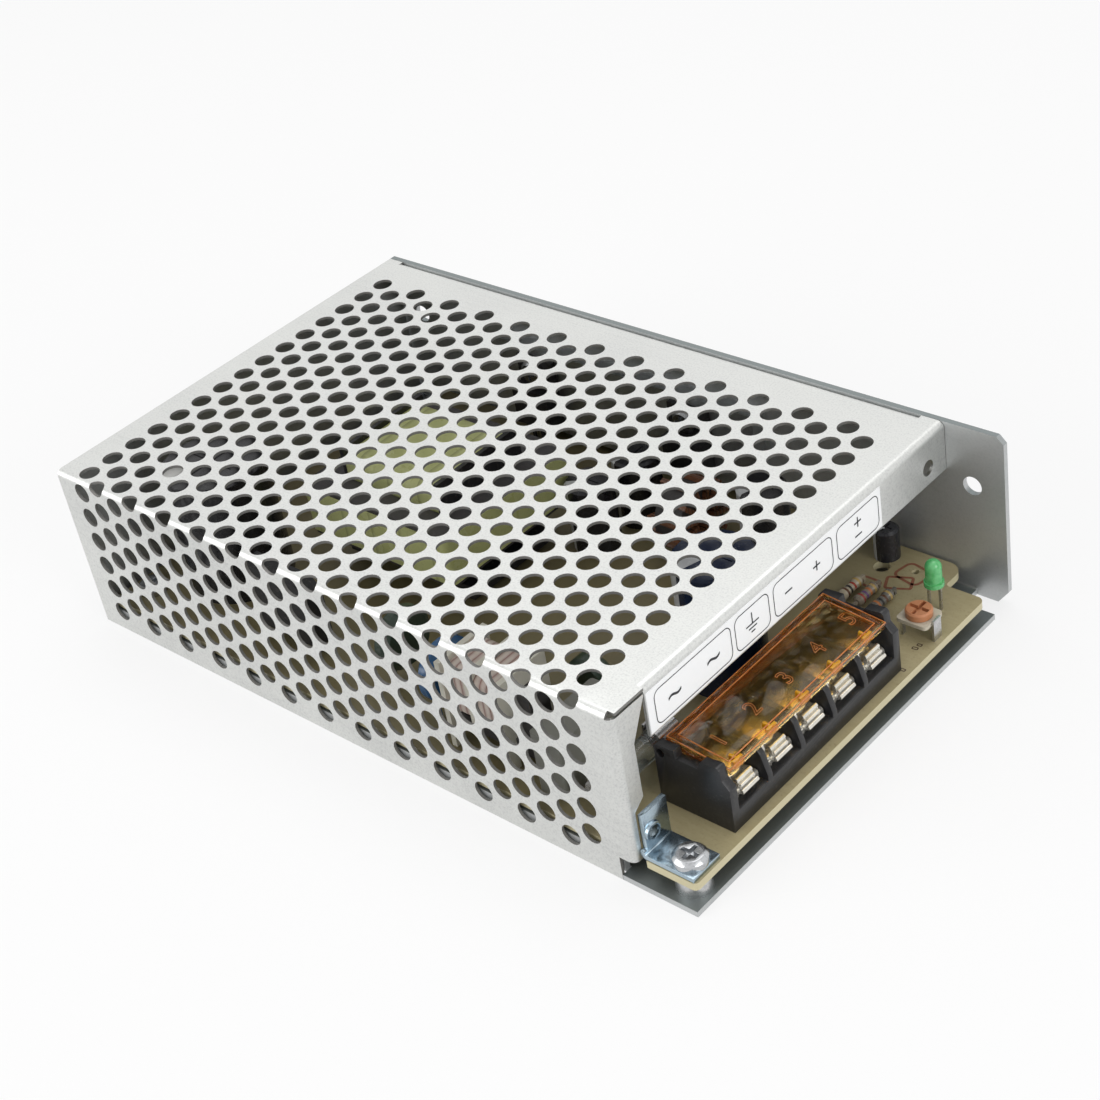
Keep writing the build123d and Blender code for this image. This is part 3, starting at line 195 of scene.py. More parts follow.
# %% Moulded grain group
grain_group, given, gives = new_group(
    "moulded grain",
    [("Vector", "Vector", None), ("Base", "Color", (0.1, 0.1, 0.1, 1)), ("Dust", "Color", (0.4, 0.4, 0.4, 1)),
     ("Dust amount", "Float", 0.2), ("Grain scale", "Float", 3000.0), ("Low roughness", "Float", 0.2),
     ("High roughness", "Float", 0.4)],
    [("Color", "Color"), ("Roughness", "Float"), ("Height", "Float")],
)
place, tree = given.outputs["Vector"], grain_group
grain = noise(tree, place, given.outputs["Grain scale"], 2.0, 0.6)
drift = noise(tree, place, 120.0, 4.0, 0.6)
motes = noise(tree, place, 1800.0, 2.0, 0.5)
settled = math(tree, "MULTIPLY", spread(tree, motes, 0.55, 0.75, 0.0, 1.0),
               spread(tree, drift, 0.4, 0.7, 0.2, 1.0))
settled = math(tree, "MULTIPLY", settled, given.outputs["Dust amount"], clamp=True)
feed(tree, gives.inputs["Color"], blend_colours(tree, settled, given.outputs["Base"], given.outputs["Dust"]))
feed(tree, gives.inputs["Roughness"],
     spread(tree, drift, 0.3, 0.7, given.outputs["Low roughness"], given.outputs["High roughness"]))
feed(tree, gives.inputs["Height"], grain)
print("group made:", tree.name)

# %% Wire turns group
turns_group, given, gives = new_group(
    "wire turns",
    [("Along", "Float", 0.0), ("Pitch", "Float", 0.001), ("Wire", "Color", (0.5, 0.2, 0.1, 1)),
     ("Gap", "Color", (0.1, 0.05, 0.02, 1))],
    [("Color", "Color"), ("Height", "Float")],
)
tree = turns_group
within = math(tree, "FRACT", math(tree, "DIVIDE", given.outputs["Along"], given.outputs["Pitch"]))
centred = math(tree, "SUBTRACT", math(tree, "MULTIPLY", within, 2.0), 1.0)
crown = math(tree, "SQRT", math(tree, "SUBTRACT", 1.0, math(tree, "MULTIPLY", centred, centred)))
feed(tree, gives.inputs["Color"], blend_colours(tree, crown, given.outputs["Gap"], given.outputs["Wire"]))
feed(tree, gives.inputs["Height"], crown)
print("shader groups:", [g.name for g in bpy.data.node_groups])

# %% [markdown]
# ## Finish helpers
# Most finishes differ only in their colours and gloss. Each could have a graph of its own, but one
# helper makes any bare metal and one any moulded plastic, each with its grain group and a bump. The
# few special finishes are built on their own below.

# %% Finish helpers
finishes = {}


def start_finish(name):
    material = bpy.data.materials.new(name)
    material.use_nodes = True
    finishes[name] = material
    tree = material.node_tree
    shader = tree.nodes["Principled BSDF"]
    place = tree.nodes.new("ShaderNodeTexCoord").outputs["Object"]
    return tree, shader, place


def place_group(tree, group, inputs):
    made = tree.nodes.new("ShaderNodeGroup")
    made.node_tree = group
    for name, value in inputs.items():
        feed(tree, made.inputs[name], value)
    return made


def wire_up(tree, shader, colour, dullness, height=None, depth=0.0):
    """Links a finish to its shader. The height becomes a bump whose depth is in millimetres."""
    feed(tree, shader.inputs["Base Color"], colour)
    feed(tree, shader.inputs["Roughness"], dullness)
    if height is not None:
        made = add(tree, "ShaderNodeBump", {"Height": height, "Distance": depth * MM, "Strength": 1.0})
        feed(tree, shader.inputs["Normal"], made.outputs[0])


def metal(name, base, stain, low, high, specks=0.3, depth=0.004, cloud_scale=40.0, metallic=1.0):
    tree, shader, place = start_finish(name)
    sheet = place_group(tree, sheet_group, {
        "Vector": place, "Base": base, "Stain": stain, "Specks": specks, "Cloud scale": cloud_scale,
        "Low roughness": low, "High roughness": high})
    wire_up(tree, shader, sheet.outputs["Color"], sheet.outputs["Roughness"], sheet.outputs["Height"], depth)
    shader.inputs["Metallic"].default_value = metallic


def mould(tree, place, base, dust_colour, dust, grain_scale, low, high):
    """The moulded grain, with the colours and the gloss of one finish."""
    return place_group(tree, grain_group, {
        "Vector": place, "Base": base, "Dust": dust_colour, "Dust amount": dust, "Grain scale": grain_scale,
        "Low roughness": low, "High roughness": high})


def plastic(name, base, low, high, dust=0.2, dust_colour=rgb(150, 145, 135), depth=0.01, grain_scale=3000.0,
            coat=0.0):
    tree, shader, place = start_finish(name)
    moulded = mould(tree, place, base, dust_colour, dust, grain_scale, low, high)
    wire_up(tree, shader, moulded.outputs["Color"], moulded.outputs["Roughness"], moulded.outputs["Height"],
            depth)
    shader.inputs["Coat Weight"].default_value = coat


# %% [markdown]
# ## Metal finishes
# The cover is satin aluminium: a pale grey with fine specks and cloudy dull patches. The base is
# plated steel, the bracket is bright zinc, and screws and clamps are nickel. Grey paint would be a
# simpler finish, but only metal shows the dark and bright bands along the folds. Where a plating is
# dull, the finish is a little less than full metal. The nickel is pale and a little less than full
# metal too, so that the screws and clamps in the shade under the flap look lit: a painted light. The
# punched edge is duller, darker cut metal, and its dark colour on the hole walls is also a painted shade.

# %% Metal finishes
metal("satin aluminium", rgb(216, 217, 214), rgb(172, 173, 173), 0.32, 0.46, specks=0.5, depth=0.006)
metal("plated base sheet", rgb(190, 192, 192), rgb(150, 154, 155), 0.36, 0.5, specks=0.25, depth=0.003,
      metallic=0.7)
# Duller cut metal for hole walls and sheet edges, darker also as a painted shade in the holes.
metal("punched edge with painted shade", rgb(132, 131, 128), rgb(96, 95, 93), 0.5, 0.7, metallic=0.6)
metal("bright zinc", rgb(172, 188, 198), rgb(116, 136, 152), 0.16, 0.32, specks=0.35, depth=0.005,
      cloud_scale=160.0)
# Pale and less than full metal, so that the screws and clamps look lit in the shade under the flap: a painted
# light.
metal("nickel plate", rgb(228, 225, 216), rgb(168, 160, 146), 0.14, 0.28, specks=0.3, depth=0.004,
      cloud_scale=300.0, metallic=0.75)
metal("screw steel", rgb(196, 198, 200), rgb(120, 122, 126), 0.16, 0.3, specks=0.3, depth=0.004,
      cloud_scale=300.0)
metal("tinned leads", rgb(200, 200, 200), rgb(130, 130, 132), 0.2, 0.4, specks=0.4, depth=0.004,
      cloud_scale=400.0)
metal("heat spreader aluminium", rgb(190, 192, 194), rgb(140, 142, 145), 0.35, 0.55, specks=0.3, depth=0.01)
print("metal finishes:", len(finishes))

# %% [markdown]
# ## Plastic, coating and ink finishes
# The block is black moulding, the white film carries the label's print, and the small parts have
# lacquered or moulded coats. Each could have a graph of its own, but they differ only in colour,
# gloss and dust, so all of them use the shared grain group.

# %% Plastic finishes
plastic("black moulding", rgb(24, 24, 26), 0.3, 0.45, dust=0.1, depth=0.012, grain_scale=1400.0)
plastic("black package", rgb(34, 34, 36), 0.4, 0.6, dust=0.2, depth=0.02)
plastic("white bobbin", rgb(222, 219, 205), 0.35, 0.5, dust=0.2, dust_colour=rgb(150, 140, 120))
plastic("black bobbin", rgb(30, 30, 32), 0.3, 0.5, dust=0.25)
plastic("trimmer plate", rgb(186, 178, 160), 0.4, 0.6, dust=0.5, dust_colour=rgb(120, 100, 80))
plastic("orange rotor", rgb(182, 122, 84), 0.3, 0.45, dust=0.35, dust_colour=rgb(152, 88, 56))
plastic("grey box coat", rgb(122, 122, 114), 0.35, 0.5, dust=0.25)
plastic("blue disc coat", rgb(52, 98, 144), 0.2, 0.34, dust=0.2, coat=0.4)
plastic("dark green disc coat", rgb(44, 62, 48), 0.3, 0.45, dust=0.2, coat=0.3)
plastic("dark ferrite", rgb(58, 56, 56), 0.45, 0.65, dust=0.3, dust_colour=rgb(110, 104, 98), depth=0.03)
plastic("fibre sheet", rgb(206, 200, 182), 0.5, 0.7, dust=0.3, dust_colour=rgb(150, 140, 120), depth=0.02,
        grain_scale=900.0)
plastic("white film", rgb(236, 237, 238), 0.3, 0.42, dust=0.1, dust_colour=rgb(205, 205, 205), depth=0.002)
plastic("label ink", rgb(34, 36, 42), 0.4, 0.5, dust=0.05)
plastic("board ink", rgb(136, 86, 64), 0.4, 0.6, dust=0.7, dust_colour=rgb(160, 134, 100), grain_scale=900.0)
plastic("dark board ink", rgb(74, 58, 44), 0.4, 0.6, dust=0.5, dust_colour=rgb(120, 100, 74),
        grain_scale=900.0)
print("finishes so far:", len(finishes))

# %% [markdown]
# ## Painted shade on the base plate
# The floor inside the case lies in shade, and a darker colour paints that shade on. It could be a
# piece of its own, but a mask from the way a face looks is enough: faces that look up take a second,
# darker colour.

# %% Painted shade on the floor of the base
def overlay(name, mask, colour):
    """Blends a second colour over a finish, where the mask says so."""
    tree = finishes[name].node_tree
    socket = tree.nodes["Principled BSDF"].inputs["Base Color"]
    feed(tree, socket, blend_colours(tree, mask(tree), socket.links[0].from_socket, colour))


def along(tree, vector, axis):
    """One of the three numbers of a place or a direction."""
    return add(tree, "ShaderNodeSeparateXYZ", {"Vector": vector}).outputs[axis]


def looks_up(tree):
    """1 on a face that looks up, 0 on an upright one and -1 on one that looks down."""
    return along(tree, tree.nodes.new("ShaderNodeNewGeometry").outputs["Normal"], "Z")


def upward(tree):
    """Nearly 1 on faces that look up, where the painted shade goes."""
    return spread(tree, looks_up(tree), 0.5, 0.9, 0.0, 0.85)


# The upward faces of the base sheet take a darker colour: a painted shade on the floor of the case.
overlay("plated base sheet", upward, rgb(112, 120, 120))
print("dust laid on:", "plated base sheet")

# %% [markdown]
# ## The phenolic board
# The board is tan phenolic paper. It shows a fine weave of its pulp, it is painted darker inside the
# case as a painted shade under the cover, and its sawn edge is pale. Three flat colours would show
# hard borders, so soft masks blend them: stretched noise for the pulp, the place along the board for
# the painted shade, and the way a face looks for the edge.

# %% Phenolic board finish
tree, shader, place = start_finish("phenolic board")
board = mould(tree, place, rgb(164, 152, 116), rgb(122, 106, 74), 0.6, 2200.0, 0.3, 0.48)
fibres = add(tree, "ShaderNodeMapping", {"Vector": place, "Scale": (300.0, 1200.0, 300.0)})
pulp = noise(tree, fibres.outputs[0], 1.0, 3.0, 0.6)
tinted = blend_colours(tree, spread(tree, pulp, 0.35, 0.7, 0.0, 0.3), board.outputs["Color"],
                       rgb(182, 172, 136))
# The board is painted darker towards the inside of the case: a painted shade under the cover.
full_shade_x, shade_fade_x = 46.0, 62.0
inner_shade = spread(tree, along(tree, place, "X"), full_shade_x * MM, shade_fade_x * MM, 1.0, 0.0)
board_with_shade = blend_colours(tree, inner_shade, tinted, rgb(122, 113, 82))
lies_flat = math(tree, "ABSOLUTE", looks_up(tree))
sawn = spread(tree, lies_flat, 0.2, 0.6, 0.7, 0.0)
wire_up(tree, shader, blend_colours(tree, sawn, board_with_shade, rgb(200, 192, 158)), board.outputs["Roughness"],
        board.outputs["Height"], 0.01)
print("board is brown up to x in mm:", full_shade_x)

# %% [markdown]
# ## Tape and windings
# The transformer is wrapped in yellow tape whose laps show as faint lines, and the choke and the
# ring coil show their turns of wire. Turns could be modelled one by one, but they are seen only
# through small holes, so stripes with a bump stand for them.

# %% Transformer tape finish
tree, shader, place = start_finish("yellow coil tape")
tape = mould(tree, place, rgb(196, 200, 138), rgb(146, 148, 104), 0.4, 700.0, 0.22, 0.4)
laps_per_metre = 120.0
lap = math(tree, "FRACT", math(tree, "MULTIPLY", along(tree, place, "X"), laps_per_metre))
edge = spread(tree, lap, 0.0, 0.12, 0.55, 0.0)
wire_up(tree, shader, blend_colours(tree, edge, tape.outputs["Color"], rgb(120, 124, 84)),
        tape.outputs["Roughness"], tape.outputs["Height"], 0.02)
print("tape laps every mm:", round(1 / laps_per_metre / MM, 1))

# %% Wire winding finishes
def winding(name, axis, pitch, wire, gap, low=0.2):
    tree, shader, place = start_finish(name)
    turns = place_group(tree, turns_group, {
        "Along": along(tree, place, axis), "Pitch": pitch * MM, "Wire": wire, "Gap": gap})
    worn = noise(tree, place, 260.0, 3.0, 0.6)
    scraped = blend_colours(tree, spread(tree, worn, 0.5, 0.8, 0.0, 0.3), turns.outputs["Color"], gap)
    wire_up(tree, shader, scraped, spread(tree, worn, 0.3, 0.7, low, low + 0.2), turns.outputs["Height"], 0.12)


winding("striped choke wire", "X", 1.6, rgb(214, 202, 192), rgb(124, 48, 34), low=0.3)
winding("toroid wire", "Y", 1.0, rgb(126, 84, 60), rgb(48, 32, 22))
print("finishes so far:", len(finishes))

# %% [markdown]
# ## Clear finishes
# The flap is clear amber plastic, the lamp milky green and the fuse tube glass. Clear amber could be
# one finish for the whole flap, but the photo shows its rim, beads and tabs deeper than its pane, so
# one helper mixes four depths of it.

# %% Clear plastic finishes
def clear_amber(name, pale, deep, clear, see_through):
    """Clear tinted plastic, with fine scuffs that show only in the gloss."""
    tree, shader, place = start_finish(name)
    scuffs = noise(tree, place, 900.0, 4.0, 0.6)
    tone = spread(tree, scuffs, 0.35, 0.65, 0.0, 1.0)
    wire_up(tree, shader, blend_colours(tree, tone, pale, deep), spread(tree, scuffs, 0.5, 0.8, 0.0, 0.03))
    shader.inputs["Transmission Weight"].default_value = clear
    shader.inputs["Alpha"].default_value = see_through
    shader.inputs["IOR"].default_value = 1.45


clear_amber("amber pane", rgb(244, 206, 112), rgb(240, 198, 100), 0.98, 0.85)
clear_amber("amber rim", rgb(206, 116, 48), rgb(176, 88, 32), 0.75, 0.8)
clear_amber("amber bead", rgb(226, 146, 76), rgb(206, 120, 56), 0.3, 1.0)
clear_amber("amber tab", rgb(255, 196, 30), rgb(244, 170, 16), 0.45, 1.0)
print("finishes so far:", len(finishes))

# %% Lamp plastic and fuse glass
def hazy(name, scale, low_mask, pale, deep, dull, clear):
    """Clear material with a slight haze, which changes both its colour and its gloss."""
    tree, shader, place = start_finish(name)
    haze = noise(tree, place, scale, 2.0, 0.5)
    tone = spread(tree, haze, *low_mask, 0.0, 1.0)
    wire_up(tree, shader, blend_colours(tree, tone, pale, deep), spread(tree, haze, 0.3, 0.7, *dull))
    shader.inputs["Transmission Weight"].default_value = clear


hazy("green lamp plastic", 900.0, (0.4, 0.7), rgb(120, 214, 140), rgb(84, 190, 110), (0.12, 0.22), 0.35)
hazy("fuse glass", 400.0, (0.0, 1.0), rgb(240, 244, 242), rgb(228, 236, 232), (0.02, 0.08), 0.9)
print("finishes so far:", len(finishes))

# %% [markdown]
# ## Sleeves and colour bands
# A capacitor can wears a printed sleeve with one pale stripe up its side, and a resistor wears a few
# painted rings. Both could be thin pieces laid over the part, but a stripe that the finish works out
# from the place on the part can't come loose or shimmer.

# %% Striped sleeve finish for the capacitor cans
stripe_turn = -2.2


def sleeve(name, base, stripe, centre, half_width):
    """A printed sleeve round an upright can, with a pale stripe up one side."""
    tree, shader, place = start_finish(name)
    to_middle = (-centre[0] * MM, -centre[1] * MM, 0.0)
    from_middle = add(tree, "ShaderNodeMapping", {"Vector": place, "Location": to_middle}).outputs[0]
    turn_round = math(tree, "ARCTAN2", along(tree, from_middle, "Y"), along(tree, from_middle, "X"))
    near = math(tree, "ABSOLUTE", math(tree, "SUBTRACT", turn_round, stripe_turn))
    on_stripe = math(tree, "LESS_THAN", near, half_width)
    film = mould(tree, place, base, rgb(120, 120, 122), 0.2, 1500.0, 0.18, 0.3)
    wire_up(tree, shader, blend_colours(tree, on_stripe, film.outputs["Color"], stripe),
            film.outputs["Roughness"], film.outputs["Height"], 0.006)


dark_film, navy_film, pale_stripe = rgb(34, 34, 38), rgb(28, 40, 66), rgb(196, 198, 200)
sleeve("main sleeve", rgb(30, 30, 34), rgb(206, 206, 202), (-58.0, -27.0), 0.28)
sleeve("first output sleeve", navy_film, pale_stripe, (50.0, -1.0), 0.3)
sleeve("second output sleeve", dark_film, pale_stripe, (1.8, 18.5), 0.3)
sleeve("third output sleeve", dark_film, pale_stripe, (4.0, 30.5), 0.3)
sleeve("fourth output sleeve", dark_film, pale_stripe, (38.0, 28.5), 0.3)
sleeve("small sleeve", rgb(36, 36, 40), rgb(186, 188, 190), (55.3, 43.4), 0.35)
print("sleeves:", [name for name in finishes if "sleeve" in name])

# %% Resistor finish with colour bands
band_gap, band_half = 1.2, 0.28


def banded(name, base, bands, middle_y):
    """Painted rings along the resistor's length, which lies along Y."""
    tree, shader, place = start_finish(name)
    coat = mould(tree, place, base, rgb(110, 100, 84), 0.3, 1800.0, 0.2, 0.34)
    colour = coat.outputs["Color"]
    for number, band in enumerate(bands):
        spot = (middle_y + band_gap * (number - 1.5)) * MM
        away = math(tree, "ABSOLUTE", math(tree, "SUBTRACT", along(tree, place, "Y"), spot))
        colour = blend_colours(tree, math(tree, "LESS_THAN", away, band_half * MM), colour, band)
    wire_up(tree, shader, colour, coat.outputs["Roughness"], coat.outputs["Height"], 0.01)


brown, red, orange, gold = rgb(88, 58, 40), rgb(144, 58, 46), rgb(176, 108, 62), rgb(168, 142, 88)
black, violet = rgb(34, 32, 30), rgb(92, 66, 108)
banded("first resistor coat", rgb(160, 150, 130), (brown, black, red, gold), 29.8)
banded("second resistor coat", rgb(128, 118, 104), (red, violet, orange, gold), 29.8)
banded("third resistor coat", rgb(104, 100, 92), (orange, black, brown, gold), 29.4)
print("finishes in all:", len(finishes))

# %% [markdown]
# ## Finishes for the CAD pieces
# Every piece that comes from the CAD frame keeps its shape and place and only needs a finish. The
# finishes could be set piece by piece, but one table of finish and pieces is easier to read and to
# change.

# %% Dress the CAD pieces
five = range(1, 6)
pieces_of = {
    "plated base sheet": ["base_chassis"],
    "satin aluminium": ["perforated_cover"],
    "phenolic board": ["pcb"],
    "fibre sheet": ["insulating_sheet"],
    "bright zinc": ["earth_bracket"],
    "screw steel": ["pcb_screws", "cover_screws", "spreader_screws"],
    "nickel plate": ["terminal_tabs", *[f"clamp_plate_{n}" for n in five],
                     *[f"terminal_screw_{n}" for n in five]],
    "tinned leads": ["led_leads", "trimmer_clip", "fuse_clips", "fuse_caps", "standoffs"],
    "black moulding": ["terminal_block"],
    "amber pane": ["terminal_cover"],
    "green lamp plastic": ["led_lens"],
    "trimmer plate": ["trimmer_body"],
    "orange rotor": ["trimmer_rotor"],
    "first resistor coat": ["resistor_1"],
    "second resistor coat": ["resistor_2"],
    "third resistor coat": ["resistor_3"],
    "main sleeve": ["main_capacitor"],
    "first output sleeve": ["output_capacitor_1"],
    "second output sleeve": ["output_capacitor_2"],
    "third output sleeve": ["output_capacitor_3"],
    "fourth output sleeve": ["output_capacitor_4"],
    "small sleeve": ["small_capacitor"],
    "dark ferrite": ["transformer_core", "choke_core", "output_choke_core"],
    "white bobbin": ["choke_bobbin"],
    "black bobbin": ["transformer_bobbin"],
    "yellow coil tape": ["transformer_coil", "transformer_tape"],
    "striped choke wire": ["choke_winding"],
    "toroid wire": ["output_choke_winding"],
    "blue disc coat": ["disc_capacitor_1"],
    "dark green disc coat": ["disc_capacitor_2", "thermistor"],
    "grey box coat": ["x_capacitor"],
    "fuse glass": ["fuse_tube"],
    "black package": ["bridge_rectifier", "switching_transistor", "output_rectifier", "control_chip",
                      "optocoupler"],
    "heat spreader aluminium": ["heat_spreader"],
    "white film": ["terminal_label"],
}
for finish, names in pieces_of.items():
    for name in names:
        nodes[name].data.materials.clear()
        nodes[name].data.materials.append(finishes[finish])
plain = [name for name in nodes if nodes[name].data.materials[0].name not in finishes]
print("pieces without a finish:", plain)

# %% [markdown]
# ## The perforated cover
# On the real supply the holes are punched in a flat blank, which is then folded, so the rows run
# straight over the fold. The holes could be cut from the solid one by one, but it is neater to work
# as the press does: a six-sided tile with one round hole in it repeats over the flat blank, plain
# tiles fill the margins, the blank is trimmed to its outline, and the strip along the fold is then
# bent to a quarter circle.

# %% Sizes of the cover, read from the CAD where a node gives them
cover_low, cover_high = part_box("perforated_cover")
left, top, rear = cover_low[1] / MM, cover_high[2] / MM, cover_low[0] / MM
right, lip_face = cover_high[1] / MM, cover_high[0] / MM
sheet, punched_sheet, fold_outer = 0.8, 0.6, 1.4
hole_radius, pitch = 2.15, 6.0
row_step = pitch * sqrt(3) / 2
first_row, row_count = rear + 7.2, 26
lowest_hole, lowest_shifted, last_hole = -33.5, -31.0, 88.0
lip_bottom, lip_left = top - 10.4, left + 8.4
print("cover runs in mm:", [round(value, 2) for value in (rear, lip_face, left, right, top)])

# %% Tiles of the flat blank
def walk_ring(start):
    """The points of a closed ring of edges, from any one of them."""
    ring, point, came = [start], start, None
    while True:
        edge = next(e for e in point.link_edges if e is not came)
        point, came = edge.other_vert(point), edge
        if point is start:
            return ring
        ring.append(point)


def ring_edges(points):
    inside = set(points)
    return list({e for v in points for e in v.link_edges if e.verts[0] in inside and e.verts[1] in inside})


def one_tile(with_hole):
    """One hexagon of the blank. Its outline has 18 points, so it meets its neighbours point to point."""
    bm = bmesh.new()
    turn = Matrix.Rotation(radians(-90), 4, "Z")
    bmesh.ops.create_circle(bm, cap_ends=False, segments=6, radius=pitch / sqrt(3), matrix=turn)
    bmesh.ops.subdivide_edges(bm, edges=bm.edges[:], cuts=2)
    bm.verts.ensure_lookup_table()
    ring = walk_ring(bm.verts[0])
    if with_hole:
        inner = bmesh.ops.create_circle(bm, cap_ends=False, segments=18, radius=hole_radius,
                                        matrix=turn)["verts"]
        bmesh.ops.bridge_loops(bm, edges=ring_edges(ring) + ring_edges(inner))
    else:
        bmesh.ops.contextual_create(bm, geom=ring)
    mesh = bpy.data.meshes.new("tile")
    bm.to_mesh(mesh)
    bm.free()
    return mesh


holed, blank = one_tile(True), one_tile(False)
print("faces in a holed tile:", len(holed.polygons))

# %% Lay the tiles over the blank
top_shift, side_shift = 0.05, -0.1


def across(v):
    """The lattice closes up evenly over the fold. This gives the punched spacing back on each side."""
    shift = top_shift if v > 0 else side_shift
    return v + shift * min(abs(v) / fold_outer, 1.0)


flat = bmesh.new()
for row in range(-2, row_count + 3):
    shifted = row % 2 == 1
    for column in range(-8, 18):
        v = pitch * column + (0.0 if shifted else pitch / 2)
        lowest = lowest_shifted if shifted else lowest_hole
        punched = 0 <= row < row_count and lowest <= v < last_hole
        before = len(flat.verts)
        flat.from_mesh(holed if punched else blank)
        flat.verts.ensure_lookup_table()
        bmesh.ops.translate(flat, verts=flat.verts[before:], vec=(first_row + row * row_step, v, 0.0))
bmesh.ops.remove_doubles(flat, verts=flat.verts[:], dist=0.05)
print("faces in the flat blank:", len(flat.faces))

# %% Trim the blank and cut the fold lines
side_depth, top_reach = top, right - left
fold_lines = [fold_outer * step / 4 for step in range(-4, 5)]


def cut(bm, faces, axis, where, clear=None):
    """Adds a straight cut line to some faces, and may drop what lies before it or beyond it."""
    normal = Vector([1.0 if letter == axis else 0.0 for letter in "xyz"])
    place = normal * where
    geom = set(faces)
    for face in faces:
        geom.update(face.edges)
        geom.update(face.verts)
    bmesh.ops.bisect_plane(bm, geom=list(geom), plane_co=place, plane_no=normal,
                           clear_outer=clear == "beyond", clear_inner=clear == "before")


for axis, where, clear in (("x", rear, "before"), ("x", lip_face, "beyond"),
                           ("y", -side_depth, "before"), ("y", top_reach, "beyond")):
    cut(flat, flat.faces[:], axis, where, clear)
near_fold, margin = 8, 6
for line in fold_lines:
    cut(flat, [f for f in flat.faces if abs(f.calc_center_median().y) < near_fold], "y", line)

lip_bend = lip_face - fold_outer
flange_bend = top_reach - fold_outer
flange_rear, flange_front = rear + 4.0, lip_face - sheet - 4.0
slit_top, relief_end = -(sheet + 0.3), 1.05
foot_top, foot_rear = 5.4, lip_face - 3.7
for axis, where in (("x", lip_bend), ("y", lip_left - left), ("y", slit_top), ("x", foot_rear),
                    ("y", foot_top - side_depth)):
    cut(flat, [f for f in flat.faces if f.calc_center_median().x > lip_face - margin], axis, where)
for axis, where in (("y", flange_bend), ("x", flange_rear), ("x", flange_front)):
    cut(flat, [f for f in flat.faces if f.calc_center_median().y > top_reach - margin], axis, where)
spare = []
for face in flat.faces:
    middle = face.calc_center_median()
    past_lip = middle.x > lip_bend and middle.y > lip_left - left
    past_corner = middle.x > lip_bend and middle.y < slit_top
    past_edge = middle.y > flange_bend and flange_rear < middle.x < flange_front
    in_relief = middle.x > lip_bend and slit_top < middle.y < relief_end
    in_foot = middle.x > foot_rear and middle.y < foot_top - side_depth
    if past_lip or past_corner or past_edge or in_relief or in_foot:
        spare.append(face)
bmesh.ops.delete(flat, geom=spare, context="FACES")
print("faces after trimming:", len(flat.faces))

# %% Fold the side down and give the sheet its thickness
def fold_over(v):
    """Where a point v across the blank ends up once the side is folded down: its y and z."""
    if v >= fold_outer:
        return left + v, top
    if v <= -fold_outer:
        return left, top + v
    angle = radians(90) * (v + fold_outer) / (2 * fold_outer)
    return left + fold_outer * (1 - cos(angle)), top - fold_outer * (1 - sin(angle))


def thicken(bm, outside):
    """Turns the faces to the outside, then adds the inner skin and the edges of the sheet."""
    bmesh.ops.recalc_face_normals(bm, faces=bm.faces[:])
    facing = sum(f.normal.dot(outside) * f.calc_area() for f in bm.faces)
    if facing < 0:
        bmesh.ops.reverse_faces(bm, faces=bm.faces[:])
    bm.normal_update()
    bmesh.ops.solidify(bm, geom=bm.faces[:], thickness=punched_sheet)
    bmesh.ops.recalc_face_normals(bm, faces=bm.faces[:])


for point in flat.verts:
    y, z = fold_over(across(point.co.y))
    point.co = (point.co.x, min(y, right), max(z, 0.0))
bmesh.ops.remove_doubles(flat, verts=flat.verts[:], dist=0.01)
thicken(flat, Vector((0, -1, 1)))
heights = [v.co.z for v in flat.verts]
print("folded sheet: faces", len(flat.faces), "z from", round(min(heights), 3), "to", round(max(heights), 3))

# %% [markdown]
# ## Lip and flanges of the cover
# The front lip, the narrow flange at the front left corner and the flange behind the tall wall are
# bent from the same sheet. Each could be moulded as a box, but spinning one edge by a quarter turn
# and extruding it gives the true bend and the flat after it in two steps.

# %% Bent strip and punched hole helpers
def bent_strip(start, end, centre, axis, angle, run):
    """An edge of the sheet, spun round the fold's centre and then extruded straight on."""
    bm = bmesh.new()
    edge = bm.edges.new((bm.verts.new(start), bm.verts.new(end)))
    spun = bmesh.ops.spin(bm, geom=[edge, *edge.verts], cent=centre, axis=axis, angle=angle, steps=8,
                          use_duplicate=False)
    last = [e for e in spun["geom_last"] if isinstance(e, bmesh.types.BMEdge)]
    drawn = bmesh.ops.extrude_edge_only(bm, edges=last)["geom"]
    bmesh.ops.translate(bm, verts=[v for v in drawn if isinstance(v, bmesh.types.BMVert)], vec=run)
    return bm


def punch(bm, centre, radius, half):
    """Cuts a square out of a flat strip that faces the front, and bridges it to a round hole."""
    centre = Vector(centre)
    for letter, reach in zip("yz", half):
        middle = getattr(centre, letter)
        cut(bm, bm.faces[:], letter, middle - reach)
        cut(bm, bm.faces[:], letter, middle + reach)
    face = min(bm.faces, key=lambda f: (f.calc_center_median() - centre).length)
    square = list(face.verts)
    bmesh.ops.delete(bm, geom=[face], context="FACES_ONLY")
    upright = Matrix.Translation(centre) @ Matrix.Rotation(radians(90), 4, "Y")
    circle = bmesh.ops.create_circle(bm, cap_ends=False, segments=24, radius=radius, matrix=upright)["verts"]
    bmesh.ops.bridge_loops(bm, edges=ring_edges(square) + ring_edges(circle))


# %% The front lip with its screw hole
lip = bent_strip((lip_bend, lip_left, top), (lip_bend, right, top), (lip_bend, 0, top - fold_outer),
                 (0, 1, 0), radians(90), (0, 0, lip_bottom - (top - fold_outer)))
lip_screw = (lip_face, right - 5.8, top - 6.8)
punch(lip, lip_screw, 1.65, (3.2, 2.8))
thicken(lip, Vector((1, 0, 1)))
print("lip faces:", len(lip.faces))

# %% The edge flange behind the tall wall
edge_flange_height = 6.5
edge_flange = bent_strip((flange_rear, right - fold_outer, top), (flange_front, right - fold_outer, top),
                         (0, right - fold_outer, top - fold_outer), (1, 0, 0), radians(-90),
                         (0, 0, fold_outer - edge_flange_height))
thicken(edge_flange, Vector((0, 1, 1)))
print("edge flange faces:", len(edge_flange.faces))

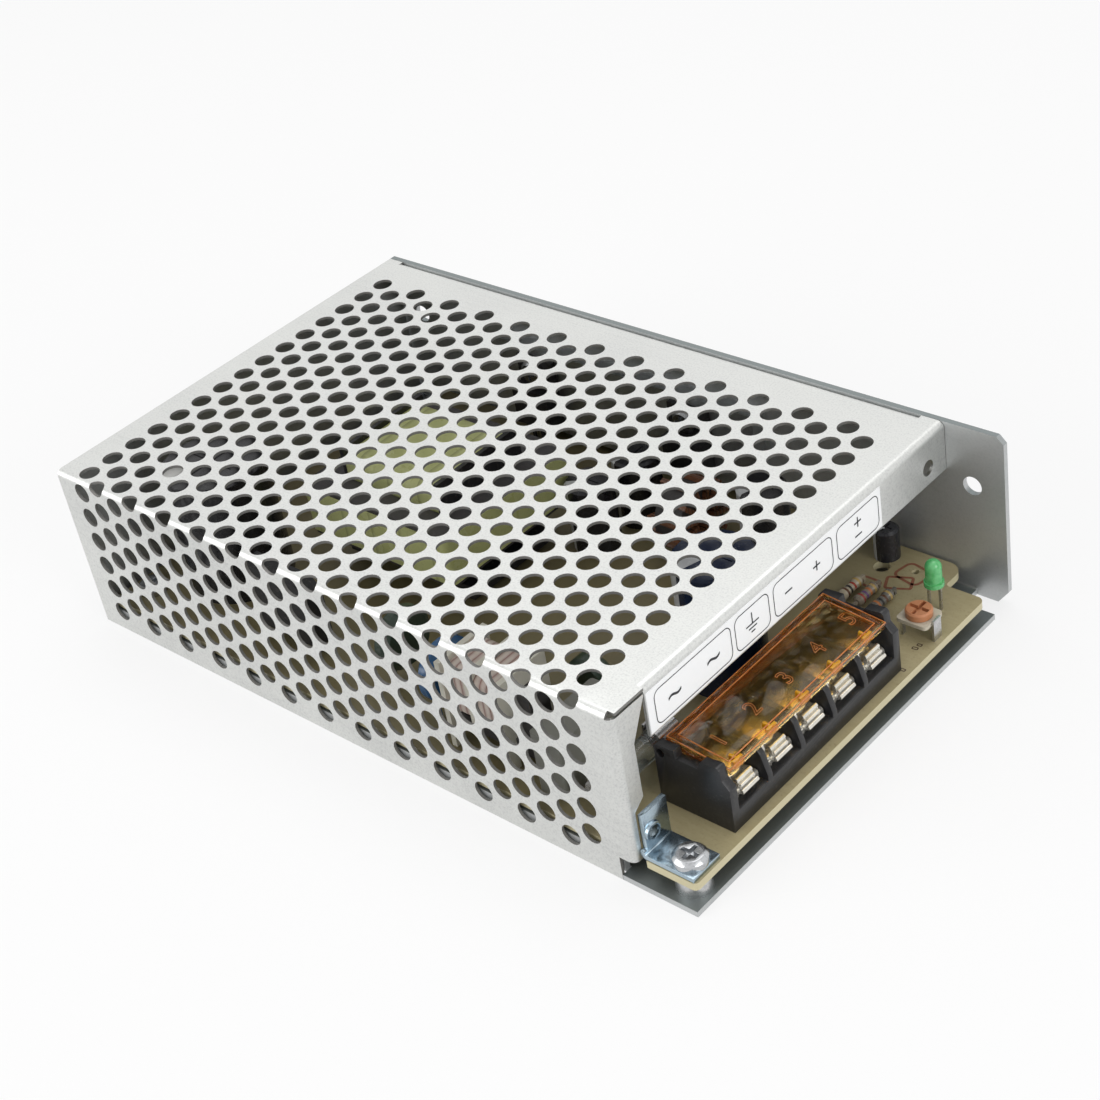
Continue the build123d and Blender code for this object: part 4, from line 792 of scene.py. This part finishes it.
# %% The tapered corner flange
widest = 8.2
width_at = {36.5: widest, 29.1: 4.4, 17.6: 4.4, 15.8: 1.9, foot_top: 1.9}
corner = bent_strip((lip_bend, left, foot_top), (lip_bend, left, top + slit_top),
                    (lip_bend, left + fold_outer, 0), (0, 0, 1), radians(90), (0, widest - fold_outer, 0))
for height in width_at:
    cut(corner, corner.faces[:], "z", height)
for point in corner.verts:
    if point.co.y > left + widest - 0.1:
        nearest = min(width_at, key=lambda height: abs(height - point.co.z))
        point.co.y = left + width_at[nearest]
thicken(corner, Vector((1, -1, 0)))
print("corner flange faces:", len(corner.faces))

# %% Join the cover and give it its place
def finish_piece(name, bm, finish, body, replaces=(), soft_angle=32):
    """Writes a bmesh made in mm as a finished piece, with soft curves and crisp edges."""
    bmesh.ops.scale(bm, verts=bm.verts[:], vec=(MM, MM, MM))
    for face in bm.faces:
        face.smooth = True
    for edge in bm.edges:
        edge.smooth = edge.calc_face_angle(pi) < radians(soft_angle)
    mesh = bpy.data.meshes.new(name)
    bm.to_mesh(mesh)
    bm.free()
    for each in [finish] if isinstance(finish, str) else finish:
        mesh.materials.append(finishes[each])
    piece = put_in_scene(name, mesh)
    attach(piece, body)
    if replaces:
        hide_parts(*replaces)
    print(name, "faces:", len(mesh.polygons))


def join(target, *parts):
    for part in parts:
        mesh = bpy.data.meshes.new("part")
        part.to_mesh(mesh)
        part.free()
        target.from_mesh(mesh)
        bpy.data.meshes.remove(mesh)


join(flat, lip, edge_flange, corner)
flat.normal_update()
# Hole walls and sheet edges take the punched edge finish, whose darker colour is partly a painted shade.
for face in flat.faces:
    middle = face.calc_center_median()
    on_top = middle.z > top - punched_sheet - 0.01 and abs(face.normal.z) < 0.3
    on_side = middle.y < left + punched_sheet + 0.01 and abs(face.normal.y) < 0.3
    face.material_index = 1 if on_top or on_side else 0
finish_piece("cover_sheet", flat, ("satin aluminium", "punched edge with painted shade"), "case",
             ("perforated_cover",))

# %% [markdown]
# ## Crisp mouldings and stampings
# Real mouldings and stampings have small rounded edges that catch the light. The CAD solids have
# sharp ones. Rebuilding each part would repeat its sizes, so a merged copy of the CAD mesh is taken,
# its flat faces are joined again, and its sharp edges are bevelled by a fraction of a millimetre.

# %% Softened copies of CAD pieces
def ease_edges(bm, sharper_than, width, segments=2):
    """Bevels the edges whose faces meet at more than an angle in degrees."""
    sharp = [e for e in bm.edges if e.calc_face_angle(0) > radians(sharper_than)]
    bmesh.ops.bevel(bm, geom=sharp, offset=width, offset_type="OFFSET", segments=segments, profile=0.5,
                    affect="EDGES", clamp_overlap=True, material=-1)


def softened(node, width, finish, body):
    bm = bmesh.new()
    bm.from_mesh(nodes[node].data)
    bmesh.ops.scale(bm, verts=bm.verts[:], vec=(1 / MM, 1 / MM, 1 / MM))
    bmesh.ops.remove_doubles(bm, verts=bm.verts[:], dist=0.002)
    bmesh.ops.dissolve_limit(bm, angle_limit=radians(1.5), verts=bm.verts[:], edges=bm.edges[:])
    ease_edges(bm, 35, width)
    finish_piece(node + "_edged", bm, finish, body, (node,), soft_angle=40)


softened("terminal_block", 0.18, "black moulding", "case")
softened("earth_bracket", 0.12, "bright zinc", "case")
softened("pcb_screws", 0.14, "screw steel", "case")
for number in five:
    softened(f"clamp_plate_{number}", 0.1, "nickel plate", f"clamp_{number}")

# %% [markdown]
# ## Blocks and turned shapes
# The small pieces that follow are built from two basic forms: a block between two corners, and an
# outline spun round an axis as on a lathe. The editor has both as ready shapes, but a helper for each
# takes its sizes in millimetres and puts it straight into the piece.

# %% Blocks and turned shapes
def block_mesh(bm, low, high):
    """A box between two corners, added to a bmesh."""
    made = bmesh.ops.create_cube(bm, size=1.0)["verts"]
    size = [b - a for a, b in zip(low, high)]
    middle = [(a + b) / 2 for a, b in zip(low, high)]
    bmesh.ops.scale(bm, verts=made, vec=size)
    bmesh.ops.translate(bm, verts=made, vec=middle)
    return made


def turned(bm, outline, centre=(0, 0, 0), steps=32):
    """Spins an outline of (radius, height) pairs round an upright axis."""
    points = [bm.verts.new((centre[0] + r, centre[1], centre[2] + h)) for r, h in outline]
    edges = [bm.edges.new(pair) for pair in zip(points, points[1:])]
    bmesh.ops.spin(bm, geom=points + edges, cent=centre, axis=(0, 0, 1), angle=2 * pi, steps=steps,
                   use_merge=True, use_duplicate=False)
    bmesh.ops.remove_doubles(bm, verts=bm.verts[:], dist=0.001)
    bmesh.ops.recalc_face_normals(bm, faces=bm.faces[:])


def lay_across(bm, x, y, z):
    """Lays an upright turned shape down along Y, with its foot at a place."""
    bmesh.ops.rotate(bm, verts=bm.verts[:], cent=(0, 0, 0), matrix=Matrix.Rotation(radians(-90), 3, "X"))
    bmesh.ops.translate(bm, verts=bm.verts[:], vec=(x, y, z))


# %% [markdown]
# ## Turned-up clamp fronts
# The front end of each clamp is rolled up and then down again over the wire, and it shows as two or
# three bright bars in the mouth of its bay. A bent strip would also do, but separate short rods laid
# across the bay keep the bright lines that the photo shows.

# %% Rolled bars of the clamps
def rod_across(bm, x, z, radius, y_low, y_high):
    """A short rod along Y, with a small chamfer at both ends."""
    rod = bmesh.new()
    length, chamfer = y_high - y_low, radius * 0.2
    turned(rod, [(0.0, 0.0), (radius - chamfer, 0.0), (radius, chamfer), (radius, length - chamfer),
                 (radius - chamfer, length), (0.0, length)], steps=14)
    lay_across(rod, x, y_low, z)
    join(bm, rod)


bay_first, bay_pitch = -28.5, 9.5
web_rear, web_front, web_foot, web_top, web_half = 74.7, 75.5, 11.3, 13.6, 2.0
rolls = [(75.1, 13.75, 0.46, 2.1), (75.75, 12.9, 0.36, 1.9), (76.25, 11.95, 0.48, 2.2)]
for number in five:
    y = bay_first + bay_pitch * (number - 1)
    bars = bmesh.new()
    block_mesh(bars, (web_rear, y - web_half, web_foot), (web_front, y + web_half, web_top))
    for x, z, radius, half in rolls:
        rod_across(bars, x, z, radius, y - half, y + half)
    finish_piece(f"clamp_roll_{number}", bars, "nickel plate", f"clamp_{number}")

# %% [markdown]
# ## Terminal screws
# Each terminal has a pan-head screw whose cross recess also runs out as a straight slot. A lathe
# turns such a head, so its outline is spun into a solid. The slot and cross are cut with three thin
# blocks, because a cut keeps the recess walls sharp and dark.

# %% Pan head with a crossed recess
def cut_away(solid, cutter):
    """Subtracts one bmesh from another with an exact boolean, and gives back the result."""
    pair = []
    for name, bm in (("solid", solid), ("cutter", cutter)):
        mesh = bpy.data.meshes.new(name)
        bm.to_mesh(mesh)
        bm.free()
        pair.append(put_in_scene(name, mesh))
    step = pair[0].modifiers.new("cut", "BOOLEAN")
    step.operation = "DIFFERENCE"
    step.solver = "EXACT"
    step.use_self = True
    step.object = pair[1]
    result = bmesh.new()
    result.from_mesh(mesh_and_remove(pair[0]))
    bpy.data.objects.remove(pair[1])
    return result


def mesh_and_remove(holder):
    """The finished mesh of a working object, which then leaves the scene."""
    graph = bpy.context.evaluated_depsgraph_get()
    mesh = bpy.data.meshes.new_from_object(holder.evaluated_get(graph))
    bpy.data.objects.remove(holder)
    return mesh


clamp_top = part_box("clamp_plate_1")[1][2] / MM
shank_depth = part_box("terminal_screw_1")[0][2] / MM - clamp_top
shank_radius, head_radius, head_height, head_turn = 1.7, 3.1, 2.1, 31
outline = [(0.0, shank_depth), (shank_radius - 0.2, shank_depth), (shank_radius, shank_depth + 0.3),
           (shank_radius, 0.0), (head_radius - 0.1, 0.0), (head_radius, 0.15), (head_radius, 1.1),
           (head_radius - 0.35, 1.7), (head_radius - 1.1, 2.0), (0.0, head_height)]
slot_and_cross = [(3.5, 0.42, 1.25), (1.7, 0.36, 0.75), (0.36, 1.7, 0.75)]
for number in five:
    low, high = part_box(f"terminal_screw_{number}")
    x, y = (low[0] + high[0]) / 2 / MM, (low[1] + high[1]) / 2 / MM
    head = bmesh.new()
    turned(head, outline, (x, y, clamp_top))
    recess = bmesh.new()
    for half_x, half_y, floor in slot_and_cross:
        block_mesh(recess, (x - half_x, y - half_y, clamp_top + floor), (x + half_x, y + half_y, clamp_top + 3))
    turn = Matrix.Rotation(radians(38 + head_turn * number), 3, "Z")
    bmesh.ops.rotate(recess, verts=recess.verts[:], cent=(x, y, 0), matrix=turn)
    finish_piece(f"pan_screw_{number}", cut_away(head, recess), "nickel plate", f"screw_{number}",
                 (f"terminal_screw_{number}",))

# %% [markdown]
# ## The amber flap
# The flap over the terminals is one clear amber moulding: a thin pane inside a raised rim, with a
# number moulded over each terminal and a small tab in front of it. It could be one box of glass, but
# the photo shows bright rim lines round a nearly clear pane, so the pane is inset and pushed down
# from the rim, and beads in a deeper colour of the same plastic line the rim.

# %% Pane and rim of the flap
flap_low, flap_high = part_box("terminal_cover")
flap_left, flap_right = flap_low[1] / MM + 1.8, flap_high[1] / MM - 1.8
slope = radians(6)
flap_origin = Vector((65.0, 0.0, 19.2))
down_slope, flap_up = Vector((cos(slope), 0, -sin(slope))), Vector((sin(slope), 0, cos(slope)))
flap_frame = Matrix((
    (down_slope.x, 0, flap_up.x, flap_origin.x), (0, 1, 0, 0), (down_slope.z, 0, flap_up.z, flap_origin.z),
    (0, 0, 0, 1)))
flap_rear, flap_front, flap_thick = -2.7, 11.0, 1.2
rim_width, pane_drop = 1.5, 0.45

flap = bmesh.new()
block_mesh(flap, (flap_rear, flap_left, -flap_thick), (flap_front, flap_right, 0.0))
flap.faces.ensure_lookup_table()
upper = max(flap.faces, key=lambda f: f.calc_center_median().z)
lower = min(flap.faces, key=lambda f: f.calc_center_median().z)
for face, inward, drop in ((upper, 0.35, 0.0), (upper, rim_width - 0.35, 0.0), (upper, 0.15, -pane_drop),
                           (lower, 1.0, 0.0), (lower, 0.1, -0.35)):
    bmesh.ops.inset_region(flap, faces=[face], thickness=inward, depth=drop)
ease_edges(flap, 40, 0.12)
bmesh.ops.transform(flap, matrix=flap_frame, verts=flap.verts[:])
finish_piece("flap_pane", flap, "amber pane", "cover_flap", ("terminal_cover",))

# %% Hinge roll and end skirts
hinge_x, hinge_z, hinge_radius, end_gap = 62.4, 17.2, 1.15, 0.1
roll_length = flap_right - flap_left - 2 * end_gap
skirt_wide, skirt_foot, skirt_top = 0.9, -2.5, -1.15
fittings = bmesh.new()
turned(fittings, [(0.0, 0.0), (hinge_radius, 0.0), (hinge_radius, roll_length), (0.0, roll_length)], steps=20)
lay_across(fittings, hinge_x, flap_left + end_gap, hinge_z)
for y in (flap_left, flap_right - skirt_wide):
    skirt = block_mesh(fittings, (-1.0, y, skirt_foot), (flap_front - 1.2, y + skirt_wide, skirt_top))
    bmesh.ops.transform(fittings, matrix=flap_frame, verts=skirt)
ease_edges(fittings, 60, 0.1, segments=1)
finish_piece("flap_hinge", fittings, "amber rim", "cover_flap")

# %% Front tabs, each with a short stem
tab_foot, tab_top, tab_shift = -flap_thick - 0.4, 0.04, -0.9
tabs = bmesh.new()
for bay in range(5):
    y = bay_first + tab_shift + bay_pitch * bay
    for half, ahead, reach in ((1.3, 9.75, 0.65), (0.28, 8.4, 1.4)):
        tab = block_mesh(tabs, (ahead, y - half, tab_foot), (ahead + reach, y + half, tab_top))
        bmesh.ops.transform(tabs, matrix=flap_frame, verts=tab)
ease_edges(tabs, 60, 0.12)
finish_piece("flap_tabs", tabs, "amber tab", "cover_flap")

# %% [markdown]
# ## Beads round the flap
# Two thin beads run round the flap, one on its outer edge and one on the inner edge of the rim. They
# are what shows as bright orange lines in the photo. They could be bevelled out of the rim, but as
# lines of their own they take a deeper colour. Each is a closed curve with a round section, made a
# mesh before it is placed.

# %% Beads of the flap
bead_radius = 0.15


def bead_loop(x0, x1, y0, y1, z):
    """A closed round-sectioned line round a rectangle, as a mesh."""
    curve = bpy.data.curves.new("bead", "CURVE")
    curve.dimensions = "3D"
    spline = curve.splines.new("POLY")
    corners = [(x0, y0), (x1, y0), (x1, y1), (x0, y1)]
    spline.points.add(len(corners) - 1)
    for point, (x, y) in zip(spline.points, corners):
        point.co = (x, y, z, 1)
    spline.use_cyclic_u = True
    curve.bevel_depth = bead_radius
    curve.bevel_resolution = 2
    return mesh_and_remove(put_in_scene("bead", curve))


beads = bmesh.new()
for inset, z in ((0.12, -0.05), (rim_width, 0.02)):
    beads.from_mesh(bead_loop(flap_rear + inset, flap_front - inset, flap_left + inset, flap_right - inset, z))
bmesh.ops.transform(beads, matrix=flap_frame, verts=beads.verts[:])
bmesh.ops.recalc_face_normals(beads, faces=beads.faces[:])
finish_piece("flap_beads", beads, "amber bead", "cover_flap", soft_angle=70)

# %% [markdown]
# ## Moulded numbers
# The numbers 1 to 5 stand in the pane as thin raised lines. Filled characters would look printed, so
# each one is a text curve without a fill, whose outline alone gets a round section.

# %% Moulded numbers on the flap
def lettering(text, size, frame_matrix, bevel=0.0, fill="BOTH"):
    """A character as a mesh, laid flat by a frame matrix. Without a fill only its outline shows."""
    curve = bpy.data.curves.new("character", "FONT")
    curve.body = text
    curve.size = size
    curve.align_x, curve.align_y = "CENTER", "CENTER"
    curve.bevel_depth = bevel
    curve.bevel_resolution = 1
    curve.resolution_u = 4
    curve.fill_mode = fill
    mesh = mesh_and_remove(put_in_scene("character", curve))
    mesh.transform(frame_matrix)
    return mesh


def gather(meshes):
    bm = bmesh.new()
    for mesh in meshes:
        bm.from_mesh(mesh)
        bpy.data.meshes.remove(mesh)
    return bm


facing_front = Matrix(((0, -1, 0, 0), (1, 0, 0, 0), (0, 0, 1, 0), (0, 0, 0, 1)))
number_size, number_ahead, number_shift, number_line = 4.7, 4.9, 1.0, 0.07
numbers = []
for number in five:
    y = bay_first + number_shift + bay_pitch * (number - 1)
    lay = flap_frame @ Matrix.Translation((number_ahead, y, -pane_drop + 0.02)) @ facing_front
    numbers.append(lettering(str(number), number_size, lay, bevel=number_line, fill="NONE"))
finish_piece("flap_numbers", gather(numbers), "amber bead", "cover_flap", soft_angle=70)

# %% [markdown]
# ## Print on the label
# The white label carries thin rounded boxes, each around the marks of its terminals. Only general
# marks are printed here: the wave sign of mains current, the earth sign, minus and plus. Print could
# be part of the film's finish, but real shapes stay sharp from close by. The boxes are flat rings
# made by rounding and insetting a rectangle, a hair above the film.

# %% Helpers for flat print
def rounded_ring(length, width, corner_round, line):
    """A thin flat ring with rounded corners, as a bmesh that faces up."""
    bm = bmesh.new()
    made = bmesh.ops.create_grid(bm, x_segments=1, y_segments=1, size=0.5)["verts"]
    bmesh.ops.scale(bm, verts=made, vec=(length, width, 1))
    bmesh.ops.bevel(bm, geom=made, offset=corner_round, offset_type="OFFSET", segments=6, profile=0.5,
                    affect="VERTICES", clamp_overlap=True, material=-1)
    bmesh.ops.inset_region(bm, faces=bm.faces[:], thickness=line, depth=0.0, use_boundary=True,
                           use_even_offset=True)
    inner = max(bm.faces, key=lambda f: f.calc_area())
    bmesh.ops.delete(bm, geom=[inner], context="FACES")
    return bm


def on_lip(y, z):
    """Turns a flat mark that faces up to face the front, at a place on the label."""
    return Matrix(((0, 0, 1, print_x), (1, 0, 0, y), (0, 1, 0, z), (0, 0, 0, 1)))


def face_along(bm, direction):
    """Turns every face of a flat print to one side."""
    bmesh.ops.recalc_face_normals(bm, faces=bm.faces[:])
    away = [f for f in bm.faces if f.normal.dot(Vector(direction)) < 0]
    bmesh.ops.reverse_faces(bm, faces=away)


print_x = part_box("terminal_label")[1][0] / MM + 0.03
print("label print lies at x in mm:", round(print_x, 2))

# %% Rounded boxes of the label
box_low, box_high = 28.5, 35.7
label_boxes = [(-38.7, -18.1), (-17.1, -7.4), (-6.2, 11.3), (12.6, 25.6)]
printed = bmesh.new()
for y0, y1 in label_boxes:
    ring = rounded_ring(y1 - y0, box_high - box_low, 1.5, 0.2)
    bmesh.ops.transform(ring, matrix=on_lip((y0 + y1) / 2, (box_low + box_high) / 2), verts=ring.verts[:])
    join(printed, ring)
print("boxes on the label:", len(label_boxes))

# %% Marks in the boxes
def stroke(bm, y, z, width, height):
    """A short straight printed line."""
    made = bmesh.ops.create_grid(bm, x_segments=1, y_segments=1, size=0.5)["verts"]
    bmesh.ops.scale(bm, verts=made, vec=(width, height, 1))
    bmesh.ops.transform(bm, matrix=on_lip(y, z), verts=made)


earth_y, earth_strokes = -12.3, [(0.3, 2.2, 33.2), (3.6, 0.3, 32.0), (2.3, 0.3, 31.2), (1.1, 0.3, 30.4)]
for width, height, z in earth_strokes:
    stroke(printed, earth_y, z, width, height)
sign_length, sign_line = 2.1, 0.34
for y, z, is_plus in ((-1.9, 32.0, False), (6.4, 32.0, True), (19.1, 33.4, True), (19.1, 30.6, False)):
    stroke(printed, y, z, sign_length, sign_line)
    if is_plus:
        stroke(printed, y, z, sign_line, sign_length)
wave_size, wave_height = 6.4, 32.1
waves = gather([lettering("~", wave_size, on_lip(y, wave_height)) for y in (-33.6, -23.2)])
bmesh.ops.triangulate(waves, faces=waves.faces[:])
join(printed, waves)
face_along(printed, (1, 0, 0))
finish_piece("label_print", printed, "label ink", "case")

# %% [markdown]
# ## Print on the board
# The bare board has thin red-brown outlines printed where parts may be fitted, and a few short dark
# marks. They could be painted into the board's finish, but rings like those on the label give them
# sharp edges, so they are laid flat on the board, a hair above it.

# %% Board outlines
board_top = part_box("pcb")[1][2] / MM
outline_ink, mark_ink = 0, 1
board_rings = [
    (63.0, 40.6, 5.6, 6.6, -12, 1.6, 0.62, outline_ink), (62.2, 37.0, 4.2, 5.6, 24, 0.8, 0.62, outline_ink),
    (57.0, 34.4, 3.0, 5.2, 0, 1.3, 0.6, outline_ink), (75.7, 21.9, 0.8, 1.3, 8, 0.25, 0.24, mark_ink),
    (75.9, 23.1, 0.8, 1.1, 8, 0.25, 0.24, mark_ink), (77.2, 15.6, 0.8, 1.2, 0, 0.25, 0.24, mark_ink)]
board_print = bmesh.new()
for x, y, length, width, turned_by, round_end, line, ink in board_rings:
    ring = rounded_ring(length, width, round_end, line)
    for face in ring.faces:
        face.material_index = ink
    lay = Matrix.Translation((x, y, board_top + 0.02)) @ Matrix.Rotation(radians(turned_by + 90), 4, "Z")
    bmesh.ops.transform(ring, matrix=lay, verts=ring.verts[:])
    join(board_print, ring)
face_along(board_print, (0, 0, 1))
finish_piece("board_print", board_print, ("board ink", "dark board ink"), "case")

# %% [markdown]
# ## Floor, light and background
# The object stands on a pale ground under large soft lights, and the background is plain white. A
# stronger world would give white too, but would bleach the object, so white is shown only to the
# rays that see the background: straight, mirrored or through clear plastic. Three soft lamps do the
# lighting.

# %% Rays that see the background
def sees_background(tree):
    """1 for rays from the camera, from a mirror and through clear plastic, and else 0."""
    rays = tree.nodes.new("ShaderNodeLightPath")
    through = math(tree, "MAXIMUM", rays.outputs["Is Glossy Ray"], rays.outputs["Is Transmission Ray"])
    return math(tree, "MAXIMUM", rays.outputs["Is Camera Ray"], through)


# %% Floor
floor_bm = bmesh.new()
bmesh.ops.create_grid(floor_bm, x_segments=1, y_segments=1, size=3.0)
floor_mesh = bpy.data.meshes.new("floor")
floor_bm.to_mesh(floor_mesh)
floor_bm.free()
put_in_scene("floor", floor_mesh)
pale = bpy.data.materials.new("pale floor")
pale.use_nodes = True
tree = pale.node_tree
floor_shader = tree.nodes["Principled BSDF"]
floor_shader.inputs["Base Color"].default_value = (0.8, 0.8, 0.8, 1)
floor_shader.inputs["Roughness"].default_value = 0.8
glow = add(tree, "ShaderNodeEmission", {"Color": (1, 1, 1, 1), "Strength": 1.0})
white_share = 0.72
mix = add(tree, "ShaderNodeMixShader", {0: math(tree, "MULTIPLY", sees_background(tree), white_share)})
feed(tree, mix.inputs[1], floor_shader.outputs[0])
feed(tree, mix.inputs[2], glow.outputs[0])
feed(tree, tree.nodes["Material Output"].inputs["Surface"], mix.outputs[0])
floor_mesh.materials.append(pale)
print("share of white that the camera sees in the floor:", white_share)

# %% World and lamps
world = bpy.data.worlds.new("studio")
bpy.context.scene.world = world
world.use_nodes = True
tree = world.node_tree
surround = tree.nodes["Background"]
surround.inputs["Color"].default_value = (1, 1, 1, 1)
world_light = 0.55
feed(tree, surround.inputs["Strength"], spread(tree, sees_background(tree), 0.0, 1.0, world_light, 1.0))


def lamp(name, place, target, size, power):
    data = bpy.data.lights.new(name, "AREA")
    data.shape = "RECTANGLE"
    data.size, data.size_y = size
    data.energy = power
    made = put_in_scene(name, data)
    made.location = place
    made.rotation_euler = (Vector(target) - Vector(place)).to_track_quat("-Z", "Y").to_euler()


lamp("side window", (-0.45, -0.8, 0.35), (-0.03, 0, 0.02), (1.0, 0.6), 5.0)
lamp("overhead", (-0.1, 0.2, 1.0), (0, 0, 0.02), (0.9, 0.9), 4.2)
lamp("front fill", (0.9, -0.1, 0.35), (0.05, 0, 0.02), (0.5, 0.5), 3.4)

bpy.context.scene.view_settings.view_transform = "Standard"
